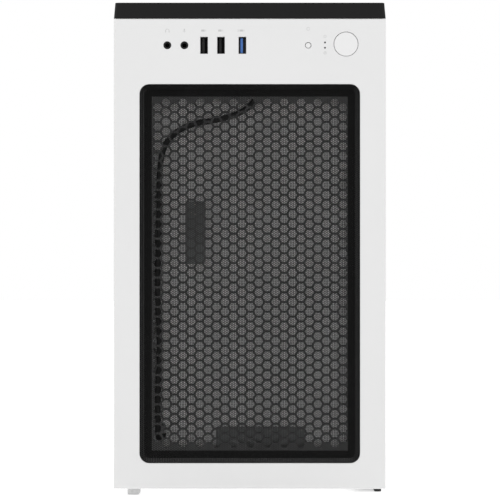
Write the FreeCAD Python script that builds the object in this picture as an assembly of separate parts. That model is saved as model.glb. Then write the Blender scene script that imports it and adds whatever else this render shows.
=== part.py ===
"""Desktop computer tower: compact micro-ATX case with a meshed front, and the computer inside it.

Frame, in millimetres: +Z up, the front faces -Y, +X is on the right when facing the front.
The origin is on the floor, under the middle of the object.
Run in the build folder: writes one STEP file per node to parts/.
"""
import FreeCAD, Part
import math
import os

V = FreeCAD.Vector
UP = V(0, 0, 1)
NORMAL = {"xy": V(0, 0, 1), "xz": V(0, 1, 0), "yz": V(1, 0, 0)}

# ---- overall size -------------------------------------------------------
WIDTH = 206.0
DEPTH = 362.0
HEIGHT = 376.0
HALF_W = WIDTH / 2
Y_FRONT = -DEPTH / 2
Z_PANEL = 8.0            # underside of the front panel
Z_WHITE = 364.0          # top of the front panel, where the top cover starts
SHEET = 1.0              # chassis sheet
GAP = 0.3                # clearance between pieces that move against each other

# ---- front panel --------------------------------------------------------
BEZEL_D = 17.0
BEZEL_WALL = 2.5
Y_WALL = Y_FRONT + BEZEL_WALL          # back of the front wall
Y_BEZEL_BACK = Y_FRONT + BEZEL_D
WIN_HALF = 83.5
WIN_Z0 = 27.4
WIN_Z1 = 314.4
WIN_R = 7.5
MESH_T = 0.8
MESH_RIM = 3.5           # width of the slanted rim of the formed mesh
MESH_SINK = 2.6          # depth of the formed mesh
MESH_FLANGE = 3.5
HONEY_T = 2.0
HONEY_PITCH = 7.4
HONEY_FLATS = 5.8
HONEY_COLS = 11          # columns on each side of the middle one
HONEY_ROWS_UP = 15
HONEY_ROWS_DOWN = 20
HONEY_X = 0.4
HONEY_Z = 190.0
Y_HONEY = Y_WALL + 0.1 + MESH_SINK + MESH_T + GAP
NET_T = 0.6              # dust net behind the grille
PEG_X = 93.5
PEG_R = 3.0
PEG_L = 17.0
PEG_ZS = (30.0, 186.0, 345.0)

# ---- front connectors and buttons ---------------------------------------
Z_IO = 343.7
JACK_XS = (-62.4, -49.5)
JACK_HOLE_R = 3.0
JACK_R = 2.7
JACK_BORE_R = 1.8
JACK_BORE_L = 14.0
USB_XS = (-34.6, -21.8, -5.6)
USB_HOLE = (5.8, 12.9)
USB_OUT = (5.7, 13.1)
USB_IN = (5.1, 12.5)
PLUG_T = 2.1             # moulding behind the contacts
TONGUE_T = 1.84
TONGUE_W = 11.1
TONGUE_L = 8.9
TONGUE_OFF = -0.55
RESET_X = 44.2
RESET_R = 2.1
LED_X = 56.9
LED_ZS = (341.8, 345.8)
LED_R = 0.65
POWER_X = 72.8
POWER_Z = 344.6
POWER_R = 9.05
PRESS = 1.0              # travel of both buttons
STEM = 6.2               # length of the button stems behind the front wall
IO_BOARD_T = 1.6
Y_IO_BOARD = -165.9
IO_BOARD_XS = (-79.0, 85.0)            # screw posts of the socket board
IO_BOARD_ZS = (329.5, 355.0)
HUBS = ((-49.0, -34.0, 178.0, 226.0), (-26.0, 42.0, 37.0, 54.0))
HUB_POST_R = 1.6

# ---- chassis ------------------------------------------------------------
Y_PLATE = -163.5         # front face of the chassis front plate
Y_REAR = 171.5           # inner face of the rear panel
CHASSIS_HALF = 97.0
Z_BASE = 10.5
Z_TOP_PLATE = 360.0
X_TRAY = 78.0
TRAY_Y0 = -110.0
Z_SHROUD = 101.0
SHROUD_Y0 = -122.0
FAN = 120.0
FAN_T = 25.0
FAN_BOLTS = 52.5         # half of the 105 mm bolt spacing of a 120 mm fan
FAN_BOLT_R = 2.2
FRONT_FAN_ZS = (106.0, 236.0)
FRONT_FAN_R = 55.0       # perforated disc in front of each fan place
FOOT_LEFT_YS = (-150.0, 122.0)
FOOT_RIGHT_YS = (-128.0, 122.0)
LEAD_HOLE = (-76.0, -64.0, 40.0, 57.0)  # where the front leads pass through the front plate
Y_LEAD = -168.3

# ---- side panels --------------------------------------------------------
GLASS_T = 4.0
SIDE_Y0 = -162.7
SIDE_Y1 = 174.0
SIDE_Z0 = 9.0
SIDE_Z1 = 363.0
FLANGE_Y = 173.0         # front face of the panels' rear flanges
THUMB_ZS = (48.0, 355.5)
THUMB_X = 93.5
FLANGE_X = 89.0          # inner edge of the flanges
THUMB_R = 4.6
THUMB_SHANK_R = 1.7

# ---- rear ---------------------------------------------------------------
IO_X0, IO_X1 = 28.2, 72.6
IO_Z0, IO_Z1 = 187.0, 345.7
SLOT_PITCH = 20.32
SLOT_ZS = tuple(108.3 + SLOT_PITCH * i for i in range(4))
REAR_FAN_X, REAR_FAN_Z = -32.4, 290.0
COVER_SCREW_X = 67.0
VENT_W = 3.8             # width and spacing of the cooling slots
VENT_PITCH = 8.0

# ---- mainboard ----------------------------------------------------------
BOARD = 244.0
BOARD_T = 1.6
X_BOARD = 69.9           # component side
BOARD_Y0 = Y_REAR - 0.6 - BOARD
BOARD_Z0 = 106.0
CPU_Y, CPU_Z = 93.0, 285.0
RAM_YS = (30.0, 19.0)
RAM_Z0 = 200.0
RAM_SLOT_L = 142.0
RAM_L = 133.35
RAM_H = 31.25

COOLER = 92.0
COOLER_T = 25.0
SINK_X0, SINK_X1 = 32.0, 64.4
USB_STACK_ZS = (227.2, 246.0, 264.0, 326.0)
USB_STACK_W = 16.4
REAR_USB_MOUTHS = (4.2, 12.0)          # distances from the board
NET_X0, NET_X1 = 16.8, 28.2            # network socket, distances from the board
NET_Z0, NET_Z1 = 219.8, 234.6

# ---- power supply and drive ---------------------------------------------
PSU = (150.0, 140.0, 86.0)
PSU_Y1 = Y_REAR - 0.1
PSU_Y0 = PSU_Y1 - PSU[1]
PSU_Z0 = Z_BASE + SHEET + 0.1
PSU_WALL = 1.2
PSU_FAN_Y = 101.0
PSU_WINDOW = 66.0        # half width of the cut-out in the rear panel
PSU_SCREW_X = 69.0
PSU_SCREW_ZS = (17.8, 91.4)
INLET_X, INLET_Z = 46.0, 36.0
SWITCH_X, SWITCH_Z = 46.0, 66.0
SWITCH_TILT = 8.0
HDD = (147.0, 101.6, 26.1)
CAGE_Y0, CAGE_Y1 = -119.0, -9.0
CAGE_H = 37.6
HDD_Z0 = 19.0


# ---- leads --------------------------------------------------------------
ARC_SHARE = 0.45         # share of the shorter run that each arc takes
LEAD_R = 2.2
POWER_LEAD_R = 3.6
DATA_LEAD_R = 1.6
LEAD_ROUTE = (
    (10.0, Y_LEAD, 327.0),
    (10.0, Y_LEAD, 314.0),
    (0.0, Y_LEAD, 296.0),
    (-22.0, Y_LEAD, 288.0),
    (-47.0, Y_LEAD, 285.0),
    (-65.5, Y_LEAD, 272.0),
    (-69.5, Y_LEAD, 245.0),
    (-69.0, Y_LEAD, 205.0),
    (-70.5, Y_LEAD, 160.0),
    (-68.5, Y_LEAD, 115.0),
    (-70.0, Y_LEAD, 80.0),
    (-70.0, Y_LEAD, 45.0),
    (-70.0, -137.0, 44.0),
    (-40.0, -134.0, 47.0),
    (0.0, -136.0, 54.0),
    (40.0, -134.0, 68.0),
    (56.0, -132.0, 100.0),
    (60.0, -112.0, 124.0),
    (58.0, -88.0, 132.0),
    (50.0, -66.0, 124.0),
    (51.5, -53.0, 111.3),
    (61.9, -53.0, 111.3),
)
POWER_ROUTE = (
    (36.0, PSU_Y0, 73.0),
    (36.0, 12.0, 73.0),
    (56.0, -8.0, 70.0),
    (80.0, -21.0, 80.0),
    (88.0, -26.0, 112.0),
    (88.0, -35.0, 160.0),
    (87.5, -54.0, 214.0),
    (87.5, -82.0, 260.0),
    (68.0, -93.0, 270.0),
    (52.0, -94.0, 266.0),
    (40.0, -87.0, 264.0),
    (35.0, -78.0, 262.5),
    (34.4, -69.2, 262.0),
    (39.9, -63.2, 262.0),
    (X_BOARD - 22.0, -63.2, 262.0),
)
DATA_ROUTE = (
    (-83.0, -88.0, 25.0),
    (-88.0, -88.0, 25.0),
    (-91.0, -80.0, 28.0),
    (-91.0, -66.0, 33.0),
    (-90.0, -36.0, 46.0),
    (-80.0, 0.0, 62.0),
    (-40.0, 16.0, 70.0),
    (12.0, 10.0, 66.0),
    (50.0, -22.0, 64.0),
    (82.0, -48.0, 76.0),
    (89.0, -56.0, 108.0),
    (88.0, -66.0, 138.0),
    (86.0, -86.0, 164.0),
    (66.0, -92.0, 174.0),
    (48.0, -80.0, 187.0),
    (44.0, -70.0, 197.0),
    (47.5, -64.5, 204.0),
    (X_BOARD - 15.0, -64.5, 204.0),
)


# ---- drawing helpers ----------------------------------------------------
def point(plane, at, u, v):
    """A point of a drawing plane that lies at the given height along its normal."""
    if plane == "xy":
        return V(u, v, at)
    if plane == "xz":
        return V(u, at, v)
    return V(at, u, v)


def rect(plane, at, u0, u1, v0, v1, r=0.0):
    """Rectangle with rounded corners, as a wire."""
    if r <= 0:
        corners = [(u0, v0), (u1, v0), (u1, v1), (u0, v1), (u0, v0)]
        return Part.makePolygon([point(plane, at, *c) for c in corners])
    k = r * (1 - math.sqrt(0.5))
    stops = [
        ((u0 + r, v0), (u1 - r, v0), (u1 - k, v0 + k)),
        ((u1, v0 + r), (u1, v1 - r), (u1 - k, v1 - k)),
        ((u1 - r, v1), (u0 + r, v1), (u0 + k, v1 - k)),
        ((u0, v1 - r), (u0, v0 + r), (u0 + k, v0 + k)),
    ]
    edges = []
    for i, (start, end, bulge) in enumerate(stops):
        following = stops[(i + 1) % 4][0]
        a, b = point(plane, at, *start), point(plane, at, *end)
        if a.distanceToPoint(b) > 1e-6:
            edges.append(Part.LineSegment(a, b).toShape())
        edges.append(Part.Arc(b, point(plane, at, *bulge), point(plane, at, *following)).toShape())
    return Part.Wire(edges)


def ring(plane, at, u, v, r):
    """Circle, as a wire."""
    return Part.Wire(Part.Circle(point(plane, at, u, v), NORMAL[plane], r).toShape())


def hexagon(plane, at, u, v, flats):
    """Hexagon with level top and bottom edges, as a wire."""
    r = flats / math.sqrt(3)
    turn = [math.radians(60 * i) for i in range(7)]
    return Part.makePolygon([point(plane, at, u + r * math.cos(a), v + r * math.sin(a)) for a in turn])


def sheet(plane, at, t, outer, holes=()):
    """Flat plate cut from an outline and any number of holes."""
    face = Part.makeFace(Part.makeCompound([outer] + list(holes)), "Part::FaceMakerBullseye")
    return face.extrude(NORMAL[plane] * t)


def plate(plane, at, t, u0, u1, v0, v1, r=0.0, holes=()):
    return sheet(plane, at, t, rect(plane, at, u0, u1, v0, v1, r), holes)


def box(x0, x1, y0, y1, z0, z1):
    return Part.makeBox(x1 - x0, y1 - y0, z1 - z0, V(x0, y0, z0))


def rod(plane, at, u, v, r, length):
    """Cylinder that stands on a drawing plane."""
    return Part.makeCylinder(r, length, point(plane, at, u, v), NORMAL[plane])


def tube(plane, at, u, v, r_out, r_in, length):
    return rod(plane, at, u, v, r_out, length).cut(rod(plane, at, u, v, r_in, length))


def fuse(shapes):
    return shapes[0].multiFuse(shapes[1:]).removeSplitter()


def group(shapes):
    return Part.makeCompound(shapes)


def slots(plane, at, u0, u1, v0, v1, width, pitch):
    """A column of level rounded slots that fills a rectangle."""
    count = int((v1 - v0 - width) / pitch) + 1
    start = (v0 + v1 - (count - 1) * pitch) / 2
    rows = [start + i * pitch for i in range(count)]
    return [rect(plane, at, u0, u1, v - width / 2, v + width / 2, width / 2 - 0.01) for v in rows]


def hex_field(plane, at, u0, u1, v0, v1, flats, pitch, keep=None):
    """Close-packed hexagons inside a rectangle."""
    step = pitch * math.sqrt(3) / 2
    columns = int((u1 - u0 - flats) / step) + 1
    cells = []
    for i in range(columns):
        u = (u0 + u1) / 2 + (i - (columns - 1) / 2) * step
        rows = int((v1 - v0 - flats - pitch / 2) / pitch) + 1
        for j in range(rows):
            v = (v0 + v1) / 2 + (j - (rows - 1) / 2 + (i % 2) / 2 - 0.25) * pitch
            if keep is None or keep(u, v):
                cells.append(hexagon(plane, at, u, v, flats))
    return cells


def bolt_holes(plane, at, u, v, half, r):
    return [ring(plane, at, u + i * half, v + j * half, r) for i in (-1, 1) for j in (-1, 1)]


def cable(name, points, r):
    """Round cable along straight runs; the arc at each corner is as large as its two runs allow."""
    path = [V(*p) for p in points]
    edges = []
    radii = []
    start = path[0]
    for before, corner, after in zip(path, path[1:], path[2:]):
        back, ahead = before - corner, after - corner
        reach = ARC_SHARE * min(back.Length, ahead.Length)
        back.normalize()
        ahead.normalize()
        half = back.getAngle(ahead) / 2
        bend = reach * math.tan(half)
        middle = (back + ahead).normalize()
        a, b = corner + back * reach, corner + ahead * reach
        top = corner + middle * (bend / math.sin(half) - bend)
        edges.append(Part.LineSegment(start, a).toShape())
        edges.append(Part.Arc(a, top, b).toShape())
        radii.append(round(bend, 1))
        start = b
    edges.append(Part.LineSegment(start, path[-1]).toShape())
    spine = Part.Wire(edges)
    profile = Part.Wire(Part.Circle(path[0], path[1] - path[0], r).toShape())
    tube_shape = spine.makePipeShell([profile], True, False)
    ratio = tube_shape.Volume / (spine.Length * math.pi * r * r)
    print(name, "length %.1f" % spine.Length, "volume ratio %.4f" % ratio, "radii", radii)
    return tube_shape


def save(node, shape):
    shape.exportStep("parts/%s.step" % node)


# ---- front panel --------------------------------------------------------
def bezel():
    shell = box(-HALF_W, HALF_W, Y_FRONT, Y_BEZEL_BACK, Z_PANEL, Z_WHITE)
    front = [e for e in shell.Edges if all(abs(p.Point.y - Y_FRONT) < 1e-6 for p in e.Vertexes)]
    shell = shell.makeFillet(1.2, front)
    w = BEZEL_WALL
    shell = shell.cut(box(-HALF_W + w, HALF_W - w, Y_WALL, Y_BEZEL_BACK, Z_PANEL + w, Z_WHITE - w))
    y = Y_FRONT - 1
    deep = BEZEL_WALL + 2
    cutters = [plate("xz", y, deep, -WIN_HALF, WIN_HALF, WIN_Z0, WIN_Z1, WIN_R)]
    cutters += [rod("xz", y, x, Z_IO, JACK_HOLE_R, deep) for x in JACK_XS]
    hw, hh = USB_HOLE[0] / 2, USB_HOLE[1] / 2
    cutters += [box(x - hw, x + hw, y, y + deep, Z_IO - hh, Z_IO + hh) for x in USB_XS]
    cutters += [rod("xz", y, LED_X, z, LED_R + 0.05, deep) for z in LED_ZS]
    cutters.append(rod("xz", y, RESET_X, Z_IO, RESET_R + GAP, deep))
    cutters.append(rod("xz", y, POWER_X, POWER_Z, POWER_R + GAP, deep))
    shell = shell.cut(group(cutters))
    extras = [rod("xz", Y_WALL - 0.5, s * PEG_X, z, PEG_R, PEG_L) for s in (-1, 1) for z in PEG_ZS]
    extras.append(tube("xz", Y_WALL - 0.5, POWER_X, POWER_Z, POWER_R + 3.2, POWER_R + 1.9, 6.5))
    extras.append(tube("xz", Y_WALL - 0.5, RESET_X, Z_IO, RESET_R + 2.8, RESET_R + 1.6, 6.5))
    for x in (-HALF_W + w - 0.5, HALF_W - w - 1.0):
        for z in (100.0, 262.0):
            extras.append(box(x, x + 1.5, Y_WALL - 0.5, Y_BEZEL_BACK, z, z + 8))
    return fuse([shell] + extras)


def formed_pan(grow, y_open, y_floor):
    """Solid inside of the formed mesh: a shallow tapered tray."""
    r = max(WIN_R - 1 + grow, 1.0)
    a = WIN_HALF + grow
    b = WIN_HALF - MESH_RIM + grow
    z0, z1 = WIN_Z0 - grow, WIN_Z1 + grow
    mouth = rect("xz", y_open, -a, a, z0, z1, r)
    floor = rect("xz", y_floor, -b, b, z0 + MESH_RIM, z1 - MESH_RIM, r - 1)
    return Part.makeLoft([mouth, floor], True, True)


def mesh_panel():
    y = Y_WALL + 0.1
    f = MESH_FLANGE
    flange = plate("xz", y, MESH_T, -WIN_HALF - f, WIN_HALF + f, WIN_Z0 - f, WIN_Z1 + f, WIN_R + f)
    back = y + MESH_SINK
    pan = formed_pan(0.0, y, back)
    outside = formed_pan(MESH_T, y, back + MESH_T)
    return fuse([flange, outside]).cut(pan)


def honeycomb_grille():
    y = Y_HONEY
    step = HONEY_PITCH * math.sqrt(3) / 2
    cells = []
    for i in range(-HONEY_COLS, HONEY_COLS + 1):
        odd = i % 2
        for j in range(-HONEY_ROWS_DOWN, HONEY_ROWS_UP + 1 - odd):
            z = HONEY_Z + (j + odd / 2) * HONEY_PITCH
            cells.append(hexagon("xz", y, HONEY_X + i * step, z, HONEY_FLATS))
    f = MESH_FLANGE
    return plate("xz", y, HONEY_T, -WIN_HALF - f, WIN_HALF + f, WIN_Z0 - f, WIN_Z1 + f, 6.0, cells)


def light_pipes():
    return group([rod("xz", Y_FRONT + 0.2, LED_X, z, LED_R, 12.0) for z in LED_ZS])


def button(x, z, r, cap_y):
    cap = rod("xz", cap_y, x, z, r, 3.4)
    rim = [e for e in cap.Edges if all(abs(p.Point.y - cap_y) < 1e-6 for p in e.Vertexes)]
    cap = cap.makeFillet(0.4, rim)
    collar = rod("xz", Y_WALL + GAP, x, z, r + 1.3, 1.6)
    stem = rod("xz", Y_WALL, x, z, 1.6, STEM)
    return fuse([cap, collar, stem])


# ---- front connectors ---------------------------------------------------
def hub_posts():
    """Screw posts of the two small boards in front of the dust net."""
    posts = []
    for x0, x1, z0, z1 in HUBS:
        if x1 - x0 > z1 - z0:
            posts += [(x0 + 4, (z0 + z1) / 2), (x1 - 4, (z0 + z1) / 2)]
        else:
            posts += [((x0 + x1) / 2, z0 + 4), ((x0 + x1) / 2, z1 - 4)]
    return posts


def front_boards():
    """Socket board with the plug of the front leads, and the fan and light hubs lower down."""
    y = Y_IO_BOARD
    holes = [ring("xz", y, x, z, 1.6) for x in IO_BOARD_XS for z in IO_BOARD_ZS]
    board = plate("xz", y, IO_BOARD_T, -82.0, 88.0, 326.0, 358.5, 1.5, holes)
    boards = [fuse([board, box(1.0, 15.0, y - 4.9, y + 0.2, 327.0, 334.0)])]
    y = Y_PLATE - 3.4
    posts = hub_posts()
    for i, (x0, x1, z0, z1) in enumerate(HUBS):
        hub = plate("xz", y, IO_BOARD_T, x0, x1, z0, z1, 1.5)
        feet = [rod("xz", y + 0.1, u, v, HUB_POST_R, 3.3) for u, v in posts[2 * i:2 * i + 2]]
        boards.append(fuse([hub] + feet))
    return group(boards)


def usb_shells():
    shells = []
    for x in USB_XS:
        ow, oh = USB_OUT[0] / 2, USB_OUT[1] / 2
        iw, ih = USB_IN[0] / 2, USB_IN[1] / 2
        y = Y_WALL + 0.4
        body = box(x - ow, x + ow, y, Y_IO_BOARD, Z_IO - oh, Z_IO + oh)
        shells.append(body.cut(box(x - iw, x + iw, y, Y_IO_BOARD - 1.0, Z_IO - ih, Z_IO + ih)))
    return group(shells)


def usb_tongue(x):
    back = Y_IO_BOARD - 1.0
    u = x + TONGUE_OFF
    t, w = TONGUE_T / 2, TONGUE_W / 2
    blade = box(u - t, u + t, back - PLUG_T - TONGUE_L, back - PLUG_T + 0.1, Z_IO - w, Z_IO + w)
    iw, ih = USB_IN[0] / 2 - 0.05, USB_IN[1] / 2 - 0.05
    plug = box(x - iw, x + iw, back - PLUG_T, back - 0.05, Z_IO - ih, Z_IO + ih)
    return fuse([blade, plug])


def audio_jacks():
    jacks = []
    for x in JACK_XS:
        y = Y_FRONT + 0.5
        nose = rod("xz", y, x, Z_IO, JACK_R, 4.0)
        body = box(x - 4, x + 4, Y_WALL + 0.4, Y_IO_BOARD, Z_IO - 4.5, Z_IO + 4.5)
        jacks.append(fuse([nose, body]).cut(rod("xz", y, x, Z_IO, JACK_BORE_R, JACK_BORE_L)))
    return group(jacks)


def switches():
    """Tactile switches under both buttons, and the two lamps under the light pipes."""
    tip = Y_WALL + STEM + PRESS + GAP
    pieces = []
    for x, z in ((POWER_X, POWER_Z), (RESET_X, Z_IO)):
        body = box(x - 3, x + 3, Y_IO_BOARD - 3.5, Y_IO_BOARD, z - 3, z + 3)
        pieces.append(fuse([body, rod("xz", tip, x, z, 1.7, Y_IO_BOARD - 3.4 - tip)]))
    for z in LED_ZS:
        pieces.append(rod("xz", Y_FRONT + 12.6, LED_X, z, 1.5, Y_IO_BOARD - Y_FRONT - 12.6))
    return group(pieces)


# ---- chassis ------------------------------------------------------------
def front_plate():
    """Front of the chassis, perforated where two fans can be fitted."""
    y = Y_PLATE
    r = FRONT_FAN_R
    holes = []
    for z in FRONT_FAN_ZS:
        def inside(u, v):
            return math.hypot(u, v - z) < r - 3
        holes += hex_field("xz", y, -r, r, z - r, z + r, 4.4, 6.0, inside)
        holes += bolt_holes("xz", y, 0, z, FAN_BOLTS, FAN_BOLT_R)
    holes += [ring("xz", y, s * PEG_X, z, PEG_R + GAP) for s in (-1, 1) for z in PEG_ZS]
    holes.append(rect("xz", y, *LEAD_HOLE, 3.0))
    face = plate("xz", y, SHEET, -CHASSIS_HALF, CHASSIS_HALF, Z_BASE, Z_TOP_PLATE + SHEET, 2.0, holes)
    back = Y_IO_BOARD + IO_BOARD_T
    posts = [rod("xz", back, x, z, 2.4, y - back + 0.1) for x in IO_BOARD_XS for z in IO_BOARD_ZS]
    return fuse([face] + posts)


def front_net():
    """Fine dust net in a thin frame that lies on the front plate."""
    y = Y_PLATE - GAP - NET_T
    x, z0, z1 = WIN_HALF + MESH_FLANGE, WIN_Z0 - MESH_FLANGE, WIN_Z1 + MESH_FLANGE
    gaps = [rect("xz", y, *LEAD_HOLE, 3.0)]
    gaps += [ring("xz", y, u, v, HUB_POST_R + GAP) for u, v in hub_posts()]
    net = plate("xz", y, NET_T, -x, x, z0, z1, 6.0, gaps)
    hole = rect("xz", y - NET_T, -x + 5, x - 5, z0 + 5, z1 - 5, 3.0)
    return fuse([net, plate("xz", y - NET_T, 2 * NET_T, -x, x, z0, z1, 6.0, [hole])])


def side_flanges(z0, z1, y0, y1):
    """Folded edges along the two sides of a plate."""
    c = CHASSIS_HALF
    return [box(-c, -c + SHEET, y0, y1, z0, z1), box(c - SHEET, c, y0, y1, z0, z1)]


def base_plate():
    y0, y1 = Y_PLATE + SHEET + 0.1, Y_REAR - 0.1
    z = Z_BASE
    holes = slots("xy", z, -58.0, 58.0, 46.0, 158.0, VENT_W, VENT_PITCH)
    holes += slots("xy", z, -50.0, 50.0, -105.0, -25.0, VENT_W, 20.0)
    floor = plate("xy", z, SHEET, -CHASSIS_HALF, CHASSIS_HALF, y0, y1, 0, holes)
    pieces = [floor] + side_flanges(z, z + 12, y0, y1)
    for s in (-1, 1):
        web = sorted((s * 68.4, s * 69.4))
        lip = sorted((s * 66.4, s * 69.4))
        pieces.append(box(web[0], web[1], 38.0, 168.0, 5.6, z))
        pieces.append(box(lip[0], lip[1], 38.0, 168.0, 5.6, 6.6))
    return fuse(pieces)


def top_plate():
    y0, y1 = Y_PLATE + SHEET + 0.1, Y_REAR - 0.1
    z = Z_TOP_PLATE
    holes = slots("xy", z, -64.0, 64.0, -112.0, 132.0, VENT_W, VENT_PITCH)
    lid = plate("xy", z, SHEET, -CHASSIS_HALF, CHASSIS_HALF, y0, y1, 0, holes)
    return fuse([lid] + side_flanges(z - 11, z + SHEET, y0, y1))


def rear_panel():
    y = Y_REAR
    holes = [rect("xz", y, IO_X0, IO_X1, IO_Z0, IO_Z1)]
    holes += [rect("xz", y, -40.0, 60.0, z - 7.6, z + 7.6, 1.0) for z in SLOT_ZS]
    holes += [ring("xz", y, COVER_SCREW_X, z, 1.6) for z in SLOT_ZS]
    holes += bolt_holes("xz", y, REAR_FAN_X, REAR_FAN_Z, FAN_BOLTS, FAN_BOLT_R)
    def inside_fan(u, v):
        return math.hypot(u - REAR_FAN_X, v - REAR_FAN_Z) < 53.0
    x0, x1 = REAR_FAN_X - 57, REAR_FAN_X + 57
    holes += hex_field("xz", y, x0, x1, REAR_FAN_Z - 57, REAR_FAN_Z + 57, 5.4, 7.0, inside_fan)
    holes += hex_field("xz", y, -80.0, 10.0, 184.0, 226.0, 5.4, 7.0)
    holes.append(rect("xz", y, -PSU_WINDOW, PSU_WINDOW, 16.0, 93.5, 2.0))
    holes += [ring("xz", y, x, z, 1.9) for x, z in psu_screw_points()]
    holes += [ring("xz", y, s * THUMB_X, z, 2.1) for s in (-1, 1) for z in THUMB_ZS]
    x = CHASSIS_HALF
    return plate("xz", y, SHEET, -x, x, Z_BASE, Z_TOP_PLATE + SHEET, 1.0, holes)


def psu_screw_points():
    return [(s * PSU_SCREW_X, z) for s in (-1, 1) for z in PSU_SCREW_ZS]


def board_points():
    """Fixing points of the mainboard."""
    ys = (BOARD_Y0 + 6.0, BOARD_Y0 + 116.0, BOARD_Y0 + 236.0)
    zs = (BOARD_Z0 + 6.0, BOARD_Z0 + 83.0, BOARD_Z0 + 238.0)
    return [(v, z) for v in ys for z in zs]


def mb_tray():
    x = X_TRAY
    holes = [ring("yz", x, v, z, 1.5) for v, z in board_points()]
    holes += [rect("yz", x, -101.0, -80.0, z, z + 60.0, 8.0) for z in (130.0, 232.0)]
    holes.append(rect("yz", x, CPU_Y - 45, CPU_Y + 45, CPU_Z - 45, CPU_Z + 45, 6.0))
    wall = plate("yz", x, SHEET, TRAY_Y0, Y_REAR - 0.1, Z_SHROUD + SHEET + 0.1, Z_TOP_PLATE - 0.1, 1.0, holes)
    fold = box(x, CHASSIS_HALF - 1.2, TRAY_Y0, TRAY_Y0 + SHEET, Z_SHROUD + 2, Z_TOP_PLATE - 12)
    return fuse([wall, fold])


def psu_shroud():
    z = Z_SHROUD
    c = CHASSIS_HALF - SHEET - 0.1
    y1 = Y_REAR - 0.1
    holes = slots("xy", z, -62.0, 40.0, 60.0, 150.0, VENT_W, VENT_PITCH)
    holes.append(rect("xy", z, 80.5, 93.5, -62.0, -12.0, 5.0))
    lid = plate("xy", z, SHEET, -c, c, SHROUD_Y0, y1, 0, holes)
    side = box(-c, -c + SHEET, SHROUD_Y0, y1 - 8.0, Z_BASE + SHEET + 0.1, z)
    return fuse([lid, side])


def top_cover():
    z0, z1 = Z_WHITE + GAP, HEIGHT
    y0, y1 = Y_FRONT, SIDE_Y1
    low = rect("xy", z0, -HALF_W, HALF_W, y0, y1, 3.0)
    high = rect("xy", z1, -HALF_W + 1.0, HALF_W - 1.0, y0 + 1.0, y1 - 1.0, 3.0)
    body = Part.makeLoft([low, high], True, True)
    t = 2.2
    body = body.cut(box(-HALF_W + t, HALF_W - t, y0 + t + 0.5, y1 - t, z0 - 1, z1 - 5.0))
    body = body.cut(plate("xy", z1 - 2.4, 4.0, -76.0, 76.0, -124.0, 144.0, 8.0))
    vents = slots("xy", z1 - 8, -66.0, 66.0, -112.0, 132.0, VENT_W, VENT_PITCH)
    body = body.cut(group([Part.Face(w).extrude(UP * 12) for w in vents]))
    posts = []
    for x in (-88.0, 88.0):
        for y in (-150.0, 0.0, 155.0):
            posts.append(rod("xy", Z_TOP_PLATE + SHEET, x, y, 4.0, z1 - 4.5 - Z_TOP_PLATE - SHEET))
    return fuse([body] + posts)


def filter_frame(x, y0, y1, z, t, r, net):
    """Dust filter: a frame with cross ribs on a fine net."""
    frame = plate("xy", z, t, -x, x, y0, y1, r)
    inner = plate("xy", z - 1, t + 2, -x + 5, x - 5, y0 + 5, y1 - 5, max(r - 3, 1))
    pieces = [frame.cut(inner), plate("xy", z, net, -x + 4, x - 4, y0 + 4, y1 - 4, 2.0)]
    for i in (1, 2):
        y = y0 + (y1 - y0) * i / 3
        pieces.append(box(-x + 4, x - 4, y - 1, y + 1, z, z + t))
    pieces.append(box(-1, 1, y0 + 4, y1 - 4, z, z + t))
    return fuse(pieces)


def top_filter():
    return filter_frame(75.6, -123.6, 143.6, HEIGHT - 2.1, 1.9, 7.6, 0.5)


def psu_filter():
    body = filter_frame(68.0, 40.0, 168.0, 7.0, 2.6, 2.0, 0.5)
    return fuse([body, plate("xy", 5.0, 5.0, -24.0, 24.0, 167.0, 177.0, 2.0)])


def feet_left():
    return group([plate("xy", 0, Z_BASE, -94.5, -85.5, y, y + 30, 3.5) for y in FOOT_LEFT_YS])


def feet_right():
    feet = []
    for y in FOOT_RIGHT_YS:
        post = plate("xy", 0, 8.0, 97.5, 102.8, y, y + 26, 2.0)
        arm = box(82.0, 99.0, y + 3, y + 23, 5.0, 8.0)
        root = box(82.0, 93.0, y + 3, y + 23, 5.0, Z_BASE)
        feet.append(fuse([post, arm, root]))
    return group(feet)


# ---- side panels --------------------------------------------------------
def left_glass():
    return plate("yz", -HALF_W, GLASS_T, SIDE_Y0, SIDE_Y1, SIDE_Z0, SIDE_Z1, 2.0)


def left_rails():
    """Steel strips bonded along the glass; the rear one carries the screws."""
    x0, x1 = -HALF_W + GLASS_T, -HALF_W + GLASS_T + SHEET
    y1 = 169.0
    top = box(x0, x1, SIDE_Y0 + 1, y1, SIDE_Z1 - 16, SIDE_Z1 - 0.5)
    low = box(x0, x1, SIDE_Y0 + 1, y1, SIDE_Z0 + 0.5, SIDE_Z0 + 16)
    rear = box(x0, x1, y1 + 0.5, SIDE_Y1, SIDE_Z0 + 0.5, SIDE_Z1 - 0.5)
    holes = [ring("xz", FLANGE_Y, -THUMB_X, z, THUMB_SHANK_R + 0.05) for z in THUMB_ZS]
    flange = plate("xz", FLANGE_Y, SHEET, x0 + 0.2, -FLANGE_X, SIDE_Z0 + 2, SIDE_Z1 - 2, 1.0, holes)
    return group([top, low, fuse([rear, flange])])


def right_panel():
    x1 = HALF_W
    x0 = x1 - SHEET
    skin = plate("yz", x0, SHEET, SIDE_Y0, SIDE_Y1, SIDE_Z0, SIDE_Z1, 1.0)
    lips = [box(95.0, x0 + 0.2, SIDE_Y0 + 2, 170.0, SIDE_Z1 - 1, SIDE_Z1)]
    lips.append(box(95.0, x0 + 0.2, SIDE_Y0 + 2, 170.0, SIDE_Z0, SIDE_Z0 + 1))
    holes = [ring("xz", FLANGE_Y, THUMB_X, z, THUMB_SHANK_R + 0.05) for z in THUMB_ZS]
    flange = plate("xz", FLANGE_Y, SHEET, FLANGE_X, x0 + 0.2, SIDE_Z0 + 2, SIDE_Z1 - 2, 1.0, holes)
    return fuse([skin, flange] + lips)


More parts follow.
